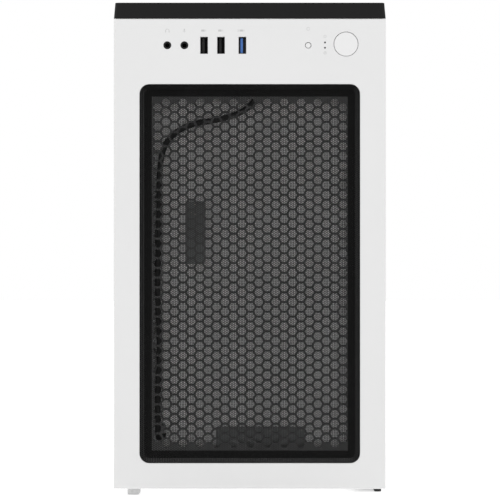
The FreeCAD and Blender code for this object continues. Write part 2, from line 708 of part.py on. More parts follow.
def thumbscrews(side):
    screws = []
    for z in THUMB_ZS:
        x = side * THUMB_X
        y0, y1 = FLANGE_Y + SHEET, DEPTH / 2
        head = rod("xz", y0, x, z, THUMB_R, y1 - y0)
        rims = [e for e in head.Edges if all(abs(p.Point.y - y1) < 1e-6 for p in e.Vertexes)]
        head = head.makeFillet(0.8, rims)
        notches = []
        for i in range(18):
            a = math.radians(20 * i)
            u, v = x + (THUMB_R + 0.35) * math.cos(a), z + (THUMB_R + 0.35) * math.sin(a)
            notches.append(rod("xz", y0 + 1.2, u, v, 0.6, 4.6))
        notches.append(box(x - 3, x + 3, y1 - 1.2, y1 + 1, z - 0.6, z + 0.6))
        head = head.cut(group(notches))
        screws.append(fuse([head, rod("xz", FLANGE_Y - 6.0, x, z, THUMB_SHANK_R, 7.5)]))
    return group(screws)


# ---- fans ---------------------------------------------------------------
def fan_frame(size, depth, bolts):
    """Square fan frame around the Z axis, from z = 0 up, with its bearing at the top."""
    half = size / 2
    outer = rect("xy", 0, -half, half, -half, half, 5.0)
    holes = bolt_holes("xy", 0, 0, 0, bolts, FAN_BOLT_R)
    frame = sheet("xy", 0, depth, outer, [ring("xy", 0, 0, 0, half - 2.5)] + holes)
    waist = tube("xy", 4.0, 0, 0, half * 1.5, half - 0.2, depth - 8.0)
    corner_keep = group([rod("xy", 3.0, i * bolts, j * bolts, 4.4, depth) for i in (-1, 1) for j in (-1, 1)])
    frame = frame.cut(waist.cut(corner_keep))
    hub_r = size * 0.17
    arms = [rod("xy", depth - 3, 0, 0, hub_r, 3.0)]
    for i in range(4):
        arm = box(0, half - 1.5, -1.6, 1.6, depth - 3, depth)
        arm.rotate(V(0, 0, 0), UP, 45 + 90 * i)
        arms.append(arm)
    bearing = rod("xy", depth - 11, 0, 0, 4.0, 9.0)
    frame = fuse([frame, bearing] + arms)
    return frame.cut(rod("xy", depth - 12, 0, 0, 1.55, 10.5))


def fan_rotor(size, depth, blades, axle_top):
    """Fan wheel around the Z axis that runs in the frame above."""
    hub_r = size * 0.165
    tip_r = size / 2 - 3.6
    cup = rod("xy", 0.6, 0, 0, hub_r, depth - 4.2)
    rims = [e for e in cup.Edges if all(abs(p.Point.z - 0.6) < 1e-6 for p in e.Vertexes)]
    cup = cup.makeFillet(1.5, rims)
    cup = cup.cut(rod("xy", 2.6, 0, 0, hub_r - 1.8, depth))
    annulus = tube("xy", 1.0, 0, 0, tip_r, hub_r - 1.0, depth - 5.0)
    pieces = [cup, rod("xy", 2.0, 0, 0, 1.5, axle_top - 2.0)]
    for i in range(blades):
        blade = Part.makeBox(tip_r + 4, size * 0.27, 1.4, V(0, -size * 0.135, -0.7))
        blade.rotate(V(0, 0, 0), V(1, 0, 0), 36)
        blade.translate(V(0, 0, 1.0 + (depth - 5.0) / 2))
        blade.rotate(V(0, 0, 0), UP, 360.0 / blades * i)
        pieces.append(blade.common(annulus))
    return fuse(pieces)


def place(shape, axis, angle, spot):
    moved = shape.copy()
    moved.rotate(V(0, 0, 0), axis, angle)
    moved.translate(V(*spot))
    return moved


def rear_fan():
    """Frame and wheel of the rear fan; the bearing side is at the rear panel."""
    spot = (REAR_FAN_X, Y_REAR - 0.1 - FAN_T, REAR_FAN_Z)
    frame = place(fan_frame(FAN, FAN_T, FAN_BOLTS), V(1, 0, 0), -90, spot)
    rotor = place(fan_rotor(FAN, FAN_T, 9, FAN_T - 2.0), V(1, 0, 0), -90, spot)
    return frame, rotor


def cooler_fan():
    """Frame and wheel of the processor fan; the bearing side is at the heat sink."""
    spot = (SINK_X0 - 0.1 - COOLER_T, CPU_Y, CPU_Z)
    frame = place(fan_frame(COOLER, COOLER_T, 41.25), V(0, 1, 0), 90, spot)
    rotor = place(fan_rotor(COOLER, COOLER_T, 7, COOLER_T - 2.0), V(0, 1, 0), 90, spot)
    return frame, rotor


def cooler_heatsink():
    length = SINK_X1 - SINK_X0
    core = rod("yz", SINK_X0, CPU_Y, CPU_Z, 16.0, length)
    pieces = [core]
    for i in range(36):
        fin = Part.makeBox(length, 28.5, 1.0, V(SINK_X0, 15.0, -0.5))
        fin.rotate(V(0, 0, 0), V(1, 0, 0), 10.0 * i)
        fin.translate(V(0, CPU_Y, CPU_Z))
        pieces.append(fin)
    return fuse(pieces)


# ---- mainboard ----------------------------------------------------------
def motherboard():
    x = X_BOARD
    holes = [ring("yz", x, v, z, 1.9) for v, z in board_points()]
    return plate("yz", x, BOARD_T, BOARD_Y0, BOARD_Y0 + BOARD, BOARD_Z0, BOARD_Z0 + BOARD, 1.5, holes)


def standoffs():
    """Hexagonal pillars with their screws."""
    pieces = []
    for v, z in board_points():
        pillar = sheet("yz", X_BOARD + BOARD_T, X_TRAY - X_BOARD - BOARD_T, hexagon("yz", X_BOARD + BOARD_T, v, z, 5.0))
        stud = rod("yz", X_BOARD - 0.2, v, z, 1.45, X_TRAY + 2.5 - X_BOARD)
        head = rod("yz", X_BOARD - 2.1, v, z, 3.0, 2.1)
        cross = [box(X_BOARD - 3, X_BOARD - 0.8, v - 1.5, v + 1.5, z - 0.3, z + 0.3)]
        cross.append(box(X_BOARD - 3, X_BOARD - 0.8, v - 0.3, v + 0.3, z - 1.5, z + 1.5))
        pieces.append(fuse([pillar, stud, head]).cut(group(cross)))
    return group(pieces)


def cpu_socket():
    frame = plate("yz", X_BOARD - 3.4, 3.4, CPU_Y - 24, CPU_Y + 24, CPU_Z - 26, CPU_Z + 26, 2.0)
    lid = plate("yz", X_BOARD - 5.4, 2.2, CPU_Y - 16, CPU_Y + 16, CPU_Z - 16, CPU_Z + 16, 1.0)
    return fuse([frame, lid])


def ram_slots():
    """Both memory slots, with their groove, end guide and clip pin."""
    pieces = []
    for y in RAM_YS:
        bar = box(X_BOARD - 9.0, X_BOARD, y - 3.4, y + 3.4, RAM_Z0, RAM_Z0 + RAM_SLOT_L)
        groove = box(X_BOARD - 10, X_BOARD - 4.0, y - 0.9, y + 0.9, RAM_Z0 + 4, RAM_Z0 + RAM_SLOT_L - 4)
        horn = box(X_BOARD - 15.0, X_BOARD, y - 3.4, y + 3.4, RAM_Z0 - 4, RAM_Z0 + 3.6)
        well = box(X_BOARD - 14.0, X_BOARD + 1, y - 1.9, y + 1.9, RAM_Z0 + RAM_SLOT_L + 0.6, RAM_Z0 + RAM_SLOT_L + 9)
        ear = box(X_BOARD - 9.0, X_BOARD, y - 3.4, y + 3.4, RAM_Z0 + RAM_SLOT_L - 1, RAM_Z0 + RAM_SLOT_L + 7.0)
        pin = rod("xz", y - 3.0, X_BOARD - 5.0, RAM_Z0 + RAM_SLOT_L + 3.8, 1.0, 6.0)
        slot = fuse([bar, ear]).cut(group([groove, well]))
        pieces.append(fuse([slot, horn.cut(box(X_BOARD - 16, X_BOARD - 4, y - 0.9, y + 0.9, RAM_Z0, RAM_Z0 + 4)), pin]))
    return pieces


def ram_latch(y):
    """Clip on the slot's pin; its nose holds the end of the module."""
    z = RAM_Z0 + RAM_SLOT_L + 3.8
    x = X_BOARD - 5.0
    body = box(x - 11.0, x + 2.6, y - 1.6, y + 1.6, z - 1.8, z + 1.8)
    body = fuse([body, rod("xz", y - 1.6, x, z, 2.6, 3.2)])
    nose = box(x - 11.0, x - 8.0, y - 1.6, y + 1.6, z - 3.4, z + 4.0)
    return fuse([body, nose]).cut(rod("xz", y - 3, x, z, 1.05, 6.0))


def ram_modules():
    pieces = []
    for y in RAM_YS:
        z0 = RAM_Z0 + (RAM_SLOT_L - RAM_L) / 2
        x1 = X_BOARD - 4.2
        card = box(x1 - RAM_H, x1, y - 0.6, y + 0.6, z0, z0 + RAM_L)
        chips = []
        for i in range(8):
            z = z0 + 6.5 + i * 15.6 + (2.0 if i > 3 else 0.0)
            chips.append(box(x1 - RAM_H + 5, x1 - 13, y - 1.7, y - 0.5, z, z + 9.4))
        pieces.append(fuse([card] + chips))
    return group(pieces)


def finned(x0, x1, y0, y1, z0, z1, pitch):
    """Small heat sink with level grooves."""
    body = box(x0, x1, y0, y1, z0, z1)
    count = int((y1 - y0 - 3) / pitch)
    grooves = [box(x0 - 1, x1 - 3.0, y0 + 3 + i * pitch, y0 + 4.6 + i * pitch, z0 - 1, z1 + 1) for i in range(count)]
    return body.cut(group(grooves))


def board_heatsinks():
    x = X_BOARD
    power = finned(x - 20.0, x, 46.0, 134.0, 338.5, 349.0, 4.0)
    chipset = finned(x - 7.0, x, -48.0, -10.0, 150.0, 188.0, 4.0)
    return group([power, chipset])


def port_block(z0, z1, reach, mouths):
    """One metal connector housing at the rear edge, with its mouths and their contact tongues."""
    x1 = X_BOARD
    body = box(x1 - reach, x1, Y_REAR - 18.0, Y_REAR + 1.6, z0, z1)
    cuts, tongues = [], []
    for mx, mz, w, h in mouths:
        x = x1 - mx
        cuts.append(box(x - w / 2, x + w / 2, Y_REAR - 10, Y_REAR + 3, mz - h / 2, mz + h / 2))
        half = h / 2 - 0.7
        tongues.append(box(x - 0.5, x + 1.1, Y_REAR - 10.5, Y_REAR - 0.6, mz - half, mz + half))
    return fuse([body.cut(group(cuts))] + tongues)


def rear_ports():
    pieces = []
    for z in USB_STACK_ZS:
        mouths = [(mx, z, 5.2, 12.6) for mx in REAR_USB_MOUTHS]
        pieces.append(port_block(z - 7.4, z + 7.4, USB_STACK_W, mouths))
    pieces.append(port_block(276.0, 291.0, 7.0, [(3.6, 283.5, 4.6, 13.4)]))
    pieces.append(port_block(294.5, 312.5, 8.0, [(4.0, 303.5, 4.8, 16.0)]))
    x0, x1 = X_BOARD - NET_X1, X_BOARD - NET_X0
    socket = box(x0, x1, Y_REAR - 18.0, Y_REAR + 1.6, NET_Z0, NET_Z1)
    mouth = box(x0 + 1.5, x1 - 1.5, Y_REAR - 12.0, Y_REAR + 3, NET_Z0 + 1.5, NET_Z1 - 1.5)
    pieces.append(socket.cut(mouth))
    jacks = box(X_BOARD - 36.0, X_BOARD, Y_REAR - 16.0, Y_REAR + 1.0, 193.0, 206.0)
    bores = [rod("xz", Y_REAR - 12.0, X_BOARD - 6.0 - 12.0 * i, 199.5, JACK_BORE_R, 14.0) for i in range(3)]
    pieces.append(jacks.cut(group(bores)))
    return group(pieces)


def io_shield():
    y = Y_REAR + 0.3
    c = 0.3
    x1 = X_BOARD + c
    holes = []
    for z in USB_STACK_ZS:
        width = NET_X1 if NET_Z0 < z < NET_Z1 else USB_STACK_W
        holes.append(rect("xz", y, x1 - width - 2 * c, x1, z - 7.4 - c, z + 7.4 + c))
    holes.append(rect("xz", y, x1 - 7.0 - 2 * c, x1, 276.0 - c, 291.0 + c))
    holes.append(rect("xz", y, x1 - 8.0 - 2 * c, x1, 294.5 - c, 312.5 + c))
    holes.append(rect("xz", y, x1 - 36.0 - 2 * c, x1, 193.0 - c, 206.0 + c))
    return plate("xz", y, 0.6, IO_X0 + 0.1, IO_X1 - 0.1, IO_Z0 + 0.1, IO_Z1 - 0.1, 0, holes)


def card_slots():
    """Long and short expansion slot."""
    pieces = []
    for z, length in ((SLOT_ZS[3], 89.0), (SLOT_ZS[1], 25.0)):
        bar = box(X_BOARD - 11.2, X_BOARD, 124.0 - length, 124.0, z - 3.7, z + 3.7)
        groove = box(X_BOARD - 12, X_BOARD - 3.0, 126.0 - length, 122.0, z - 0.9, z + 0.9)
        pieces.append(bar.cut(groove))
    return pieces


def board_headers():
    """Main power socket, drive sockets and the pin blocks of the front leads."""
    x = X_BOARD
    main = box(x - 11.6, x, -68.0, -58.4, 236.0, 288.0)
    drive = [box(x - 7.0, x, -71.5, -57.5, z, z + 16) for z in (196.0, 214.0)]
    cpu = box(x - 11.6, x, 141.0, 150.0, 330.0, 346.0)
    front = [box(x - 8.0, x, y, y + 18, 108.6, 114.0) for y in (-62.0, -36.0, -2.0)]
    return group([main, cpu] + drive + front)


def ssd_module():
    y0, y1, z0 = -6.0, 74.0, 138.0
    card = box(X_BOARD - 3.4, X_BOARD - 2.6, y0, y1, z0, z0 + 22)
    chips = [box(X_BOARD - 4.8, X_BOARD - 3.3, y, y + 14, z0 + 3, z0 + 19) for y in (2.0, 22.0, 42.0)]
    socket = box(X_BOARD - 4.4, X_BOARD, y1 - 4.0, y1 + 4.0, z0 - 0.5, z0 + 22.5)
    post = rod("yz", X_BOARD - 4.2, y0 + 1, z0 + 11, 2.6, 4.2)
    return fuse([card, socket, post] + chips)


def expansion_covers():
    covers = []
    for z in SLOT_ZS:
        y = Y_REAR + SHEET + 0.05
        holes = slots("xz", y, -30.0, 50.0, z - 7.0, z + 7.0, 2.2, 4.4)
        holes.append(ring("xz", y, COVER_SCREW_X, z, 1.9))
        covers.append(plate("xz", y, 0.8, -44.0, 74.0, z - 9.3, z + 9.3, 1.0, holes))
    return group(covers)


def pan_screw(x, y, z, head_r, head_h, shank_r, shank_l):
    """Pan-head screw that enters towards -Y, its head seated at y."""
    head = rod("xz", y, x, z, head_r, head_h)
    rims = [e for e in head.Edges if all(abs(p.Point.y - y - head_h) < 1e-6 for p in e.Vertexes)]
    head = head.makeFillet(head_h * 0.4, rims)
    cuts = [box(x - 1.6, x + 1.6, y + head_h - 1.0, y + head_h + 1, z - 0.35, z + 0.35)]
    cuts.append(box(x - 0.35, x + 0.35, y + head_h - 1.0, y + head_h + 1, z - 1.6, z + 1.6))
    return fuse([head.cut(group(cuts)), rod("xz", y - shank_l, x, z, shank_r, shank_l + 0.3)])


def case_screws():
    """Screws of the slot covers, of the power supply and of the rear fan."""
    covers = [pan_screw(COVER_SCREW_X, Y_REAR + SHEET + 0.9, z, 3.2, 2.0, 1.5, 5.0) for z in SLOT_ZS]
    fan = []
    for i in (-1, 1):
        for j in (-1, 1):
            x, z = REAR_FAN_X + i * FAN_BOLTS, REAR_FAN_Z + j * FAN_BOLTS
            fan.append(pan_screw(x, Y_REAR + SHEET + 0.05, z, 3.8, 2.0, 2.0, 8.0))
    supply = [pan_screw(x, Y_REAR + SHEET + 0.05, z, 3.4, 2.0, 1.6, 5.0) for x, z in psu_screw_points()]
    return group(covers + fan + supply)


# ---- power supply -------------------------------------------------------
def psu_case():
    hx = PSU[0] / 2
    y0, y1 = PSU_Y0, PSU_Y1
    z0, z1 = PSU_Z0, PSU_Z0 + PSU[2]
    w = PSU_WALL
    body = box(-hx, hx, y0, y1, z0, z1).cut(box(-hx + w, hx - w, y0 + w, y1 - w, z0 + w, z1 - w))
    grille = [tube("xy", z0 - 1, 0, PSU_FAN_Y, r + 3.4, r, 3.0) for r in (13.0, 21.0, 29.0, 37.0, 45.0)]
    spokes = []
    for i in range(4):
        bar = Part.makeBox(110.0, 4.0, 6.0, V(-55.0, -2.0, z0 - 2))
        bar.rotate(V(0, 0, 0), UP, 45.0 * i)
        bar.translate(V(0, PSU_FAN_Y, 0))
        spokes.append(bar)
    open_rings = group([g.cut(group(spokes)) for g in grille])
    y = y1 - w - 0.5
    vents = hex_field("xz", y, -64.0, 22.0, 20.0, 90.0, 5.4, 7.0)
    vent_cuts = group([Part.Face(h).extrude(V(0, 4, 0)) for h in vents])
    inlet = box(INLET_X - 14.1, INLET_X + 14.1, y, y1 + 1, INLET_Z - 10.1, INLET_Z + 10.1)
    rocker = box(SWITCH_X - 7.0, SWITCH_X + 7.0, y, y1 + 1, SWITCH_Z - 9.6, SWITCH_Z + 9.6)
    lead_hole = box(10.0, 60.0, y0 - 1, y0 + 3, 62.0, 84.0)
    screws = [rod("xz", y1 - 3, x, z, 1.75, 4.0) for x, z in psu_screw_points()]
    body = body.cut(group([vent_cuts, inlet, rocker, lead_hole, open_rings] + screws))
    hub = rod("xy", z0 + 0.2, 0, PSU_FAN_Y, 12.0, 3.0)
    bearing = rod("xy", z0 + 0.2, 0, PSU_FAN_Y, 4.0, 12.0)
    return fuse([body, hub, bearing]).cut(rod("xy", z0 + 3.0, 0, PSU_FAN_Y, 1.55, 12.0))


def psu_rotor():
    """Wheel turned over, so that its open side faces the bearing below."""
    wheel = fan_rotor(FAN, FAN_T - 2, 9, FAN_T - 4.5)
    return place(wheel, V(1, 0, 0), 180, (0, PSU_FAN_Y, PSU_Z0 + FAN_T))


def psu_board():
    """Circuit board of the supply under the lid, with its large components hanging from it."""
    z = PSU_Z0 + PSU[2] - 8.0
    board = box(-68.0, 68.0, PSU_Y0 + 5, PSU_Y1 - 22, z, z + 1.6)
    bottom = PSU_Z0 + FAN_T + 6.0
    core = box(-16.0, 22.0, 78.0, 108.0, bottom + 4, z + 0.2)
    sinks = [box(x, x + 3.0, PSU_Y0 + 14, PSU_Y1 - 34, bottom + 2, z + 0.2) for x in (-36.0, 34.0)]
    cans = [rod("xy", bottom + 8, -52.0, y, 11.0, z + 0.2 - bottom - 8) for y in (60.0, 86.0)]
    cans += [rod("xy", bottom + 22, 52.0, y, 5.0, z + 0.2 - bottom - 22) for y in (52.0, 66.0, 80.0)]
    return fuse([board, core] + sinks + cans)


def psu_inlet():
    """Housing with the recessed appliance inlet, its three blades, and the rocker's well."""
    x, z = INLET_X, INLET_Z
    y1 = PSU_Y1
    flange = plate("xz", y1, 1.6, x - 16.0, x + 16.0, z - 12.0, z + 12.0, 2.0)
    body = box(x - 14.0, x + 14.0, y1 - 20.0, y1 + 0.5, z - 10.0, z + 10.0)
    well = box(x - 12.2, x + 12.2, y1 - 17.0, y1 + 3, z - 8.1, z + 8.1)
    shape = fuse([flange, body]).cut(well)
    blades = []
    for dx, dz in ((-7.0, -1.6), (7.0, -1.6), (0.0, 2.0)):
        blades.append(box(x + dx - 1, x + dx + 1, y1 - 17.5, y1 - 1.5, z + dz - 2, z + dz + 2))
    return fuse([shape, rocker_well()] + blades)


def psu_switch():
    """Rocker, tilted to its rest position, on its own pivot."""
    x, z = SWITCH_X, SWITCH_Z
    y = PSU_Y1 - 4.0
    left = box(x - 5.0, x + 5.0, y - 3.0, y + 4.6, z - 7.4, z + 7.4)
    wedge = Part.makePolygon([V(x - 6, y + 6, z - 9), V(x - 6, y + 3.4, z), V(x - 6, y + 6, z + 9), V(x - 6, y + 6, z - 9)])
    rocker = left.cut(Part.Face(wedge).extrude(V(12, 0, 0)))
    rocker = fuse([rocker, rod("yz", x - 6.0, y, z, 1.5, 12.0)])
    rocker.rotate(V(x, y, z), V(1, 0, 0), -SWITCH_TILT)
    return rocker


def rocker_well():
    x, z = SWITCH_X, SWITCH_Z
    y1 = PSU_Y1
    rim = plate("xz", y1, 1.6, x - 9.0, x + 9.0, INLET_Z + 10.0, z + 11.2, 1.5)
    body = box(x - 6.9, x + 6.9, y1 - 12.0, y1 + 0.5, z - 9.5, z + 9.5)
    well = box(x - 5.4, x + 5.4, y1 - 10.0, y1 + 3, z - 8.6, z + 8.6)
    pivots = rod("yz", x - 6.6, y1 - 4.0, z, 1.55, 13.2)
    return fuse([rim, body]).cut(group([well, pivots]))


# ---- drive --------------------------------------------------------------
def drive_cage():
    z0 = Z_BASE + SHEET + 0.1
    x0, x1 = -80.0, 76.0
    floor = box(x0, x1, CAGE_Y0, CAGE_Y1, z0, z0 + SHEET)
    walls = []
    for y in (CAGE_Y0, CAGE_Y1 - SHEET):
        walls.append(box(x0, x1, y, y + SHEET, z0, z0 + CAGE_H))
    roof_z = z0 + CAGE_H - SHEET
    vents = slots("xy", roof_z, -66.0, 62.0, -104.0, -24.0, VENT_W, VENT_PITCH)
    roof = plate("xy", roof_z, SHEET, x0, x1, CAGE_Y0, CAGE_Y1, 0, vents)
    return fuse([floor, roof] + walls)


def drive_tray():
    z0 = HDD_Z0 - 3.4
    y0, y1 = CAGE_Y0 + SHEET + 0.5, CAGE_Y1 - SHEET - 0.5
    vents = slots("xy", z0, -64.0, 60.0, -102.0, -26.0, VENT_W, VENT_PITCH)
    floor = plate("xy", z0, 2.0, -78.0, 74.0, y0, y1, 0, vents)
    rails = [box(-78.0, 74.0, y0, y0 + 2.2, z0, z0 + 20), box(-78.0, 74.0, y1 - 2.2, y1, z0, z0 + 20)]
    grip = box(74.0, 80.0, y0, y1, z0, z0 + 24)
    grip = grip.cut(box(76.5, 81.0, -84.0, -44.0, z0 - 1, z0 + 16))
    return fuse([floor, grip] + rails)


def hard_drive():
    y0 = (CAGE_Y0 + CAGE_Y1 - HDD[1]) / 2
    x0, z0 = -74.0, HDD_Z0
    body = plate("xy", z0, HDD[2] - 2.0, x0, x0 + HDD[0], y0, y0 + HDD[1], 2.0)
    lid = plate("xy", z0 + HDD[2] - 2.1, 2.1, x0 + 3, x0 + HDD[0] - 8, y0 + 3, y0 + HDD[1] - 3, 8.0)
    dish = rod("xy", z0 + HDD[2] - 0.6, x0 + 90, y0 + 50, 30.0, 2.0)
    sockets = [box(x0 - 1, x0 + 5, y0 + 10, y0 + 58, z0 + 3, z0 + 9)]
    return fuse([body, lid]).cut(group([dish] + sockets))


# ---- cables -------------------------------------------------------------
def lead_plugs():
    """Plugs of the main power lead and of both ends of the data lead."""
    main = box(X_BOARD - 22.0, X_BOARD - 11.8, -68.0, -58.4, 237.0, 287.0)
    drive = box(-83.0, -69.4, -97.0, -79.0, 22.4, 27.6)
    board = box(X_BOARD - 15.0, X_BOARD - 7.1, -70.5, -58.5, 197.0, 211.0)
    return group([main, drive, board])


def front_io_leads():
    """Bundle of front leads: droops to the left behind the grille, runs down, then back to the board."""
    return cable("front_io_leads", LEAD_ROUTE, LEAD_R)


def atx_cable():
    """Main power lead: out of the supply, behind the tray, up and back through the tray to the board."""
    return cable("atx_cable", POWER_ROUTE, POWER_LEAD_R)


def sata_cable():
    """Data lead from the drive to the board."""
    return cable("sata_cable", DATA_ROUTE, DATA_LEAD_R)


def build():
    save("bezel", bezel())
    save("mesh_panel", mesh_panel())
    save("honeycomb_grille", honeycomb_grille())
    save("front_net", front_net())
    save("light_pipes", light_pipes())
    save("power_button", button(POWER_X, POWER_Z, POWER_R, Y_FRONT + 0.15))
    save("reset_button", button(RESET_X, Z_IO, RESET_R, Y_FRONT + 0.3))
    save("front_boards", front_boards())
    save("usb_shells", usb_shells())
    save("usb_tongues", group([usb_tongue(x) for x in USB_XS[:2]]))
    save("usb_fast_tongue", usb_tongue(USB_XS[2]))
    save("audio_jacks", audio_jacks())
    save("switches", switches())
    save("front_plate", front_plate())
    save("base_plate", base_plate())
    save("top_plate", top_plate())
    save("rear_panel", rear_panel())
    save("mb_tray", mb_tray())
    save("psu_shroud", psu_shroud())
    save("top_cover", top_cover())
    save("top_filter", top_filter())
    save("psu_filter", psu_filter())
    save("feet_left", feet_left())
    save("feet_right", feet_right())
    save("left_glass", left_glass())
    save("left_rails", left_rails())
    save("left_thumbscrews", thumbscrews(-1))
    save("right_panel", right_panel())
    save("right_thumbscrews", thumbscrews(1))
    frame, rotor = rear_fan()
    save("rear_fan_frame", frame)
    save("rear_fan_rotor", rotor)
    frame, rotor = cooler_fan()
    save("cooler_fan_frame", frame)
    save("cooler_rotor", rotor)
    save("cooler_heatsink", cooler_heatsink())
    save("motherboard", motherboard())
    save("standoffs", standoffs())
    save("cpu_socket", cpu_socket())
    save("board_slots", group(ram_slots() + card_slots()))
    save("ram_modules", ram_modules())
    for i, y in enumerate(RAM_YS):
        save("ram_latch_%d" % (i + 1), ram_latch(y))
    save("board_heatsinks", board_heatsinks())
    save("rear_ports", rear_ports())
    save("io_shield", io_shield())
    save("board_headers", board_headers())
    save("ssd_module", ssd_module())
    save("expansion_covers", expansion_covers())
    save("case_screws", case_screws())
    save("psu_case", psu_case())
    save("psu_rotor", psu_rotor())
    save("psu_board", psu_board())
    save("psu_inlet", psu_inlet())
    save("psu_switch", psu_switch())
    save("drive_cage", drive_cage())
    save("drive_tray", drive_tray())
    save("hard_drive", hard_drive())
    save("lead_plugs", lead_plugs())
    save("front_io_leads", front_io_leads())
    save("atx_cable", atx_cable())
    save("sata_cable", sata_cable())


os.makedirs("parts", exist_ok=True)
build()
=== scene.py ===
"""Looks of the desktop computer tower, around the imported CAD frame. Lengths are in metres."""
import math
import random

import bpy
import numpy as np
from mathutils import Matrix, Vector


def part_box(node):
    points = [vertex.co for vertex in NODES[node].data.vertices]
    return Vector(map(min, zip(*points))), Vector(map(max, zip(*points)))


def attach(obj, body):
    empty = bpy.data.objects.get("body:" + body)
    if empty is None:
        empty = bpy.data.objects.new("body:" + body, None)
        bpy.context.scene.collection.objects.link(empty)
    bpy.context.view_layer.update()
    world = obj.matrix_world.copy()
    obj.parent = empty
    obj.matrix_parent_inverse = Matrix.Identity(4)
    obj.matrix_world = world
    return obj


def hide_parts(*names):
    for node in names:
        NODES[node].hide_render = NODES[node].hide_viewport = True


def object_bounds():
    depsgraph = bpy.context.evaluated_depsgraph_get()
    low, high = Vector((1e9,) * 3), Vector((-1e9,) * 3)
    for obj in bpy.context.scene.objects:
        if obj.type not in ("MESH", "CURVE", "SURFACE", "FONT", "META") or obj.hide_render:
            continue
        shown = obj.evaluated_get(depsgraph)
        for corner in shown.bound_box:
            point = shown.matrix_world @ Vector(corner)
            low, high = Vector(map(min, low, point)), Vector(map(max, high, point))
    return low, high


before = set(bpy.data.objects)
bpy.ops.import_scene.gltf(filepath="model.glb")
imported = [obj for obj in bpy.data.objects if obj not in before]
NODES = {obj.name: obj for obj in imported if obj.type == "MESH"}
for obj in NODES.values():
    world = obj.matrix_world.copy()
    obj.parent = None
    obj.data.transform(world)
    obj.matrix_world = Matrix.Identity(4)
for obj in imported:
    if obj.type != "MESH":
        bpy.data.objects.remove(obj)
cad_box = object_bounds()
MM = 0.001
random.seed(7)


# ---- shader building ----------------------------------------------------
def setup(name, **sockets):
    """New material with a Principled shader; returns it with its node tree and shader."""
    mat = bpy.data.materials.new(name)
    mat.use_nodes = True
    tree = mat.node_tree
    bsdf = tree.nodes["Principled BSDF"]
    for key, value in sockets.items():
        bsdf.inputs[key.replace("_", " ")].default_value = value
    return mat, tree, bsdf


def add(tree, kind, inputs=None, **settings):
    made = tree.nodes.new(kind)
    for key, value in settings.items():
        setattr(made, key, value)
    for key, value in (inputs or {}).items():
        if isinstance(value, bpy.types.NodeSocket):
            tree.links.new(value, made.inputs[key])
        else:
            made.inputs[key].default_value = value
    return made


def coords(tree, scale=(1.0, 1.0, 1.0)):
    source = add(tree, "ShaderNodeTexCoord").outputs["Object"]
    return add(tree, "ShaderNodeMapping", {"Vector": source, "Scale": scale}).outputs["Vector"]


def noise(tree, vector, scale, detail=3.0, rough=0.55):
    inputs = {"Vector": vector, "Scale": scale, "Detail": detail, "Roughness": rough}
    return add(tree, "ShaderNodeTexNoise", inputs).outputs["Fac"]


def remap(tree, value, a, b, c, d):
    inputs = {"Value": value, "From Min": a, "From Max": b, "To Min": c, "To Max": d}
    return add(tree, "ShaderNodeMapRange", inputs).outputs["Result"]


def math_node(tree, operation, a, b=0.0):
    return add(tree, "ShaderNodeMath", {0: a, 1: b}, operation=operation).outputs[0]


def mix_colour(tree, fac, a, b):
    made = add(tree, "ShaderNodeMix", {0: fac, 6: a, 7: b}, data_type="RGBA")
    return made.outputs[2]


DULL = {"Specular_IOR_Level": 0.12}


def rgb(grey, tint=(1.0, 1.0, 1.0)):
    """Linear colour from an sRGB grey level of 0 to 255."""
    v = grey / 255.0
    linear = v / 12.92 if v < 0.04045 else ((v + 0.055) / 1.055) ** 2.4
    return tuple(linear * t for t in tint) + (1.0,)


def scaled(colour, k):
    return tuple(min(1.0, c * k) for c in colour[:3]) + (1.0,)


def shades(tree, fac, colour, low, high):
    """From a darker to a lighter shade of one colour."""
    return mix_colour(tree, fac, scaled(colour, low), scaled(colour, high))


def slow_change(tree, vector, scale):
    """Soft blotches from 0 to 1."""
    return remap(tree, noise(tree, vector, scale), 0.3, 0.7, 0.0, 1.0)


def relief(tree, bsdf, height, depth, strength=1.0, normal=None):
    """Bump of a depth in millimetres."""
    inputs = {"Height": height, "Strength": strength, "Distance": depth * MM}
    if normal:
        inputs["Normal"] = normal
    made = add(tree, "ShaderNodeBump", inputs)
    tree.links.new(made.outputs[0], bsdf.inputs["Normal"])
    return made


def outside_border(tree, space, node, axes, border):
    """How far a point lies in the border strip of a node's flat outline; below 0 inside it."""
    low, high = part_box(node)
    xyz = add(tree, "ShaderNodeSeparateXYZ", {"Vector": space})
    sides = []
    for axis in axes:
        middle, half = (low[axis] + high[axis]) / 2, (high[axis] - low[axis]) / 2
        off = math_node(tree, "ABSOLUTE", math_node(tree, "SUBTRACT", xyz.outputs[axis], middle))
        sides.append(math_node(tree, "SUBTRACT", off, half - border))
    return math_node(tree, "MAXIMUM", *sides)


def edge_mask(tree, radius):
    """1 on convex or concave edges and 0 on flats, with the rounded normal."""
    bevel = add(tree, "ShaderNodeBevel", {"Radius": radius}, samples=6)
    true = add(tree, "ShaderNodeNewGeometry").outputs["Normal"]
    dot = add(tree, "ShaderNodeVectorMath", {0: bevel.outputs[0], 1: true}, operation="DOT_PRODUCT")
    return remap(tree, dot.outputs["Value"], 0.995, 0.86, 0.0, 1.0), bevel.outputs[0]


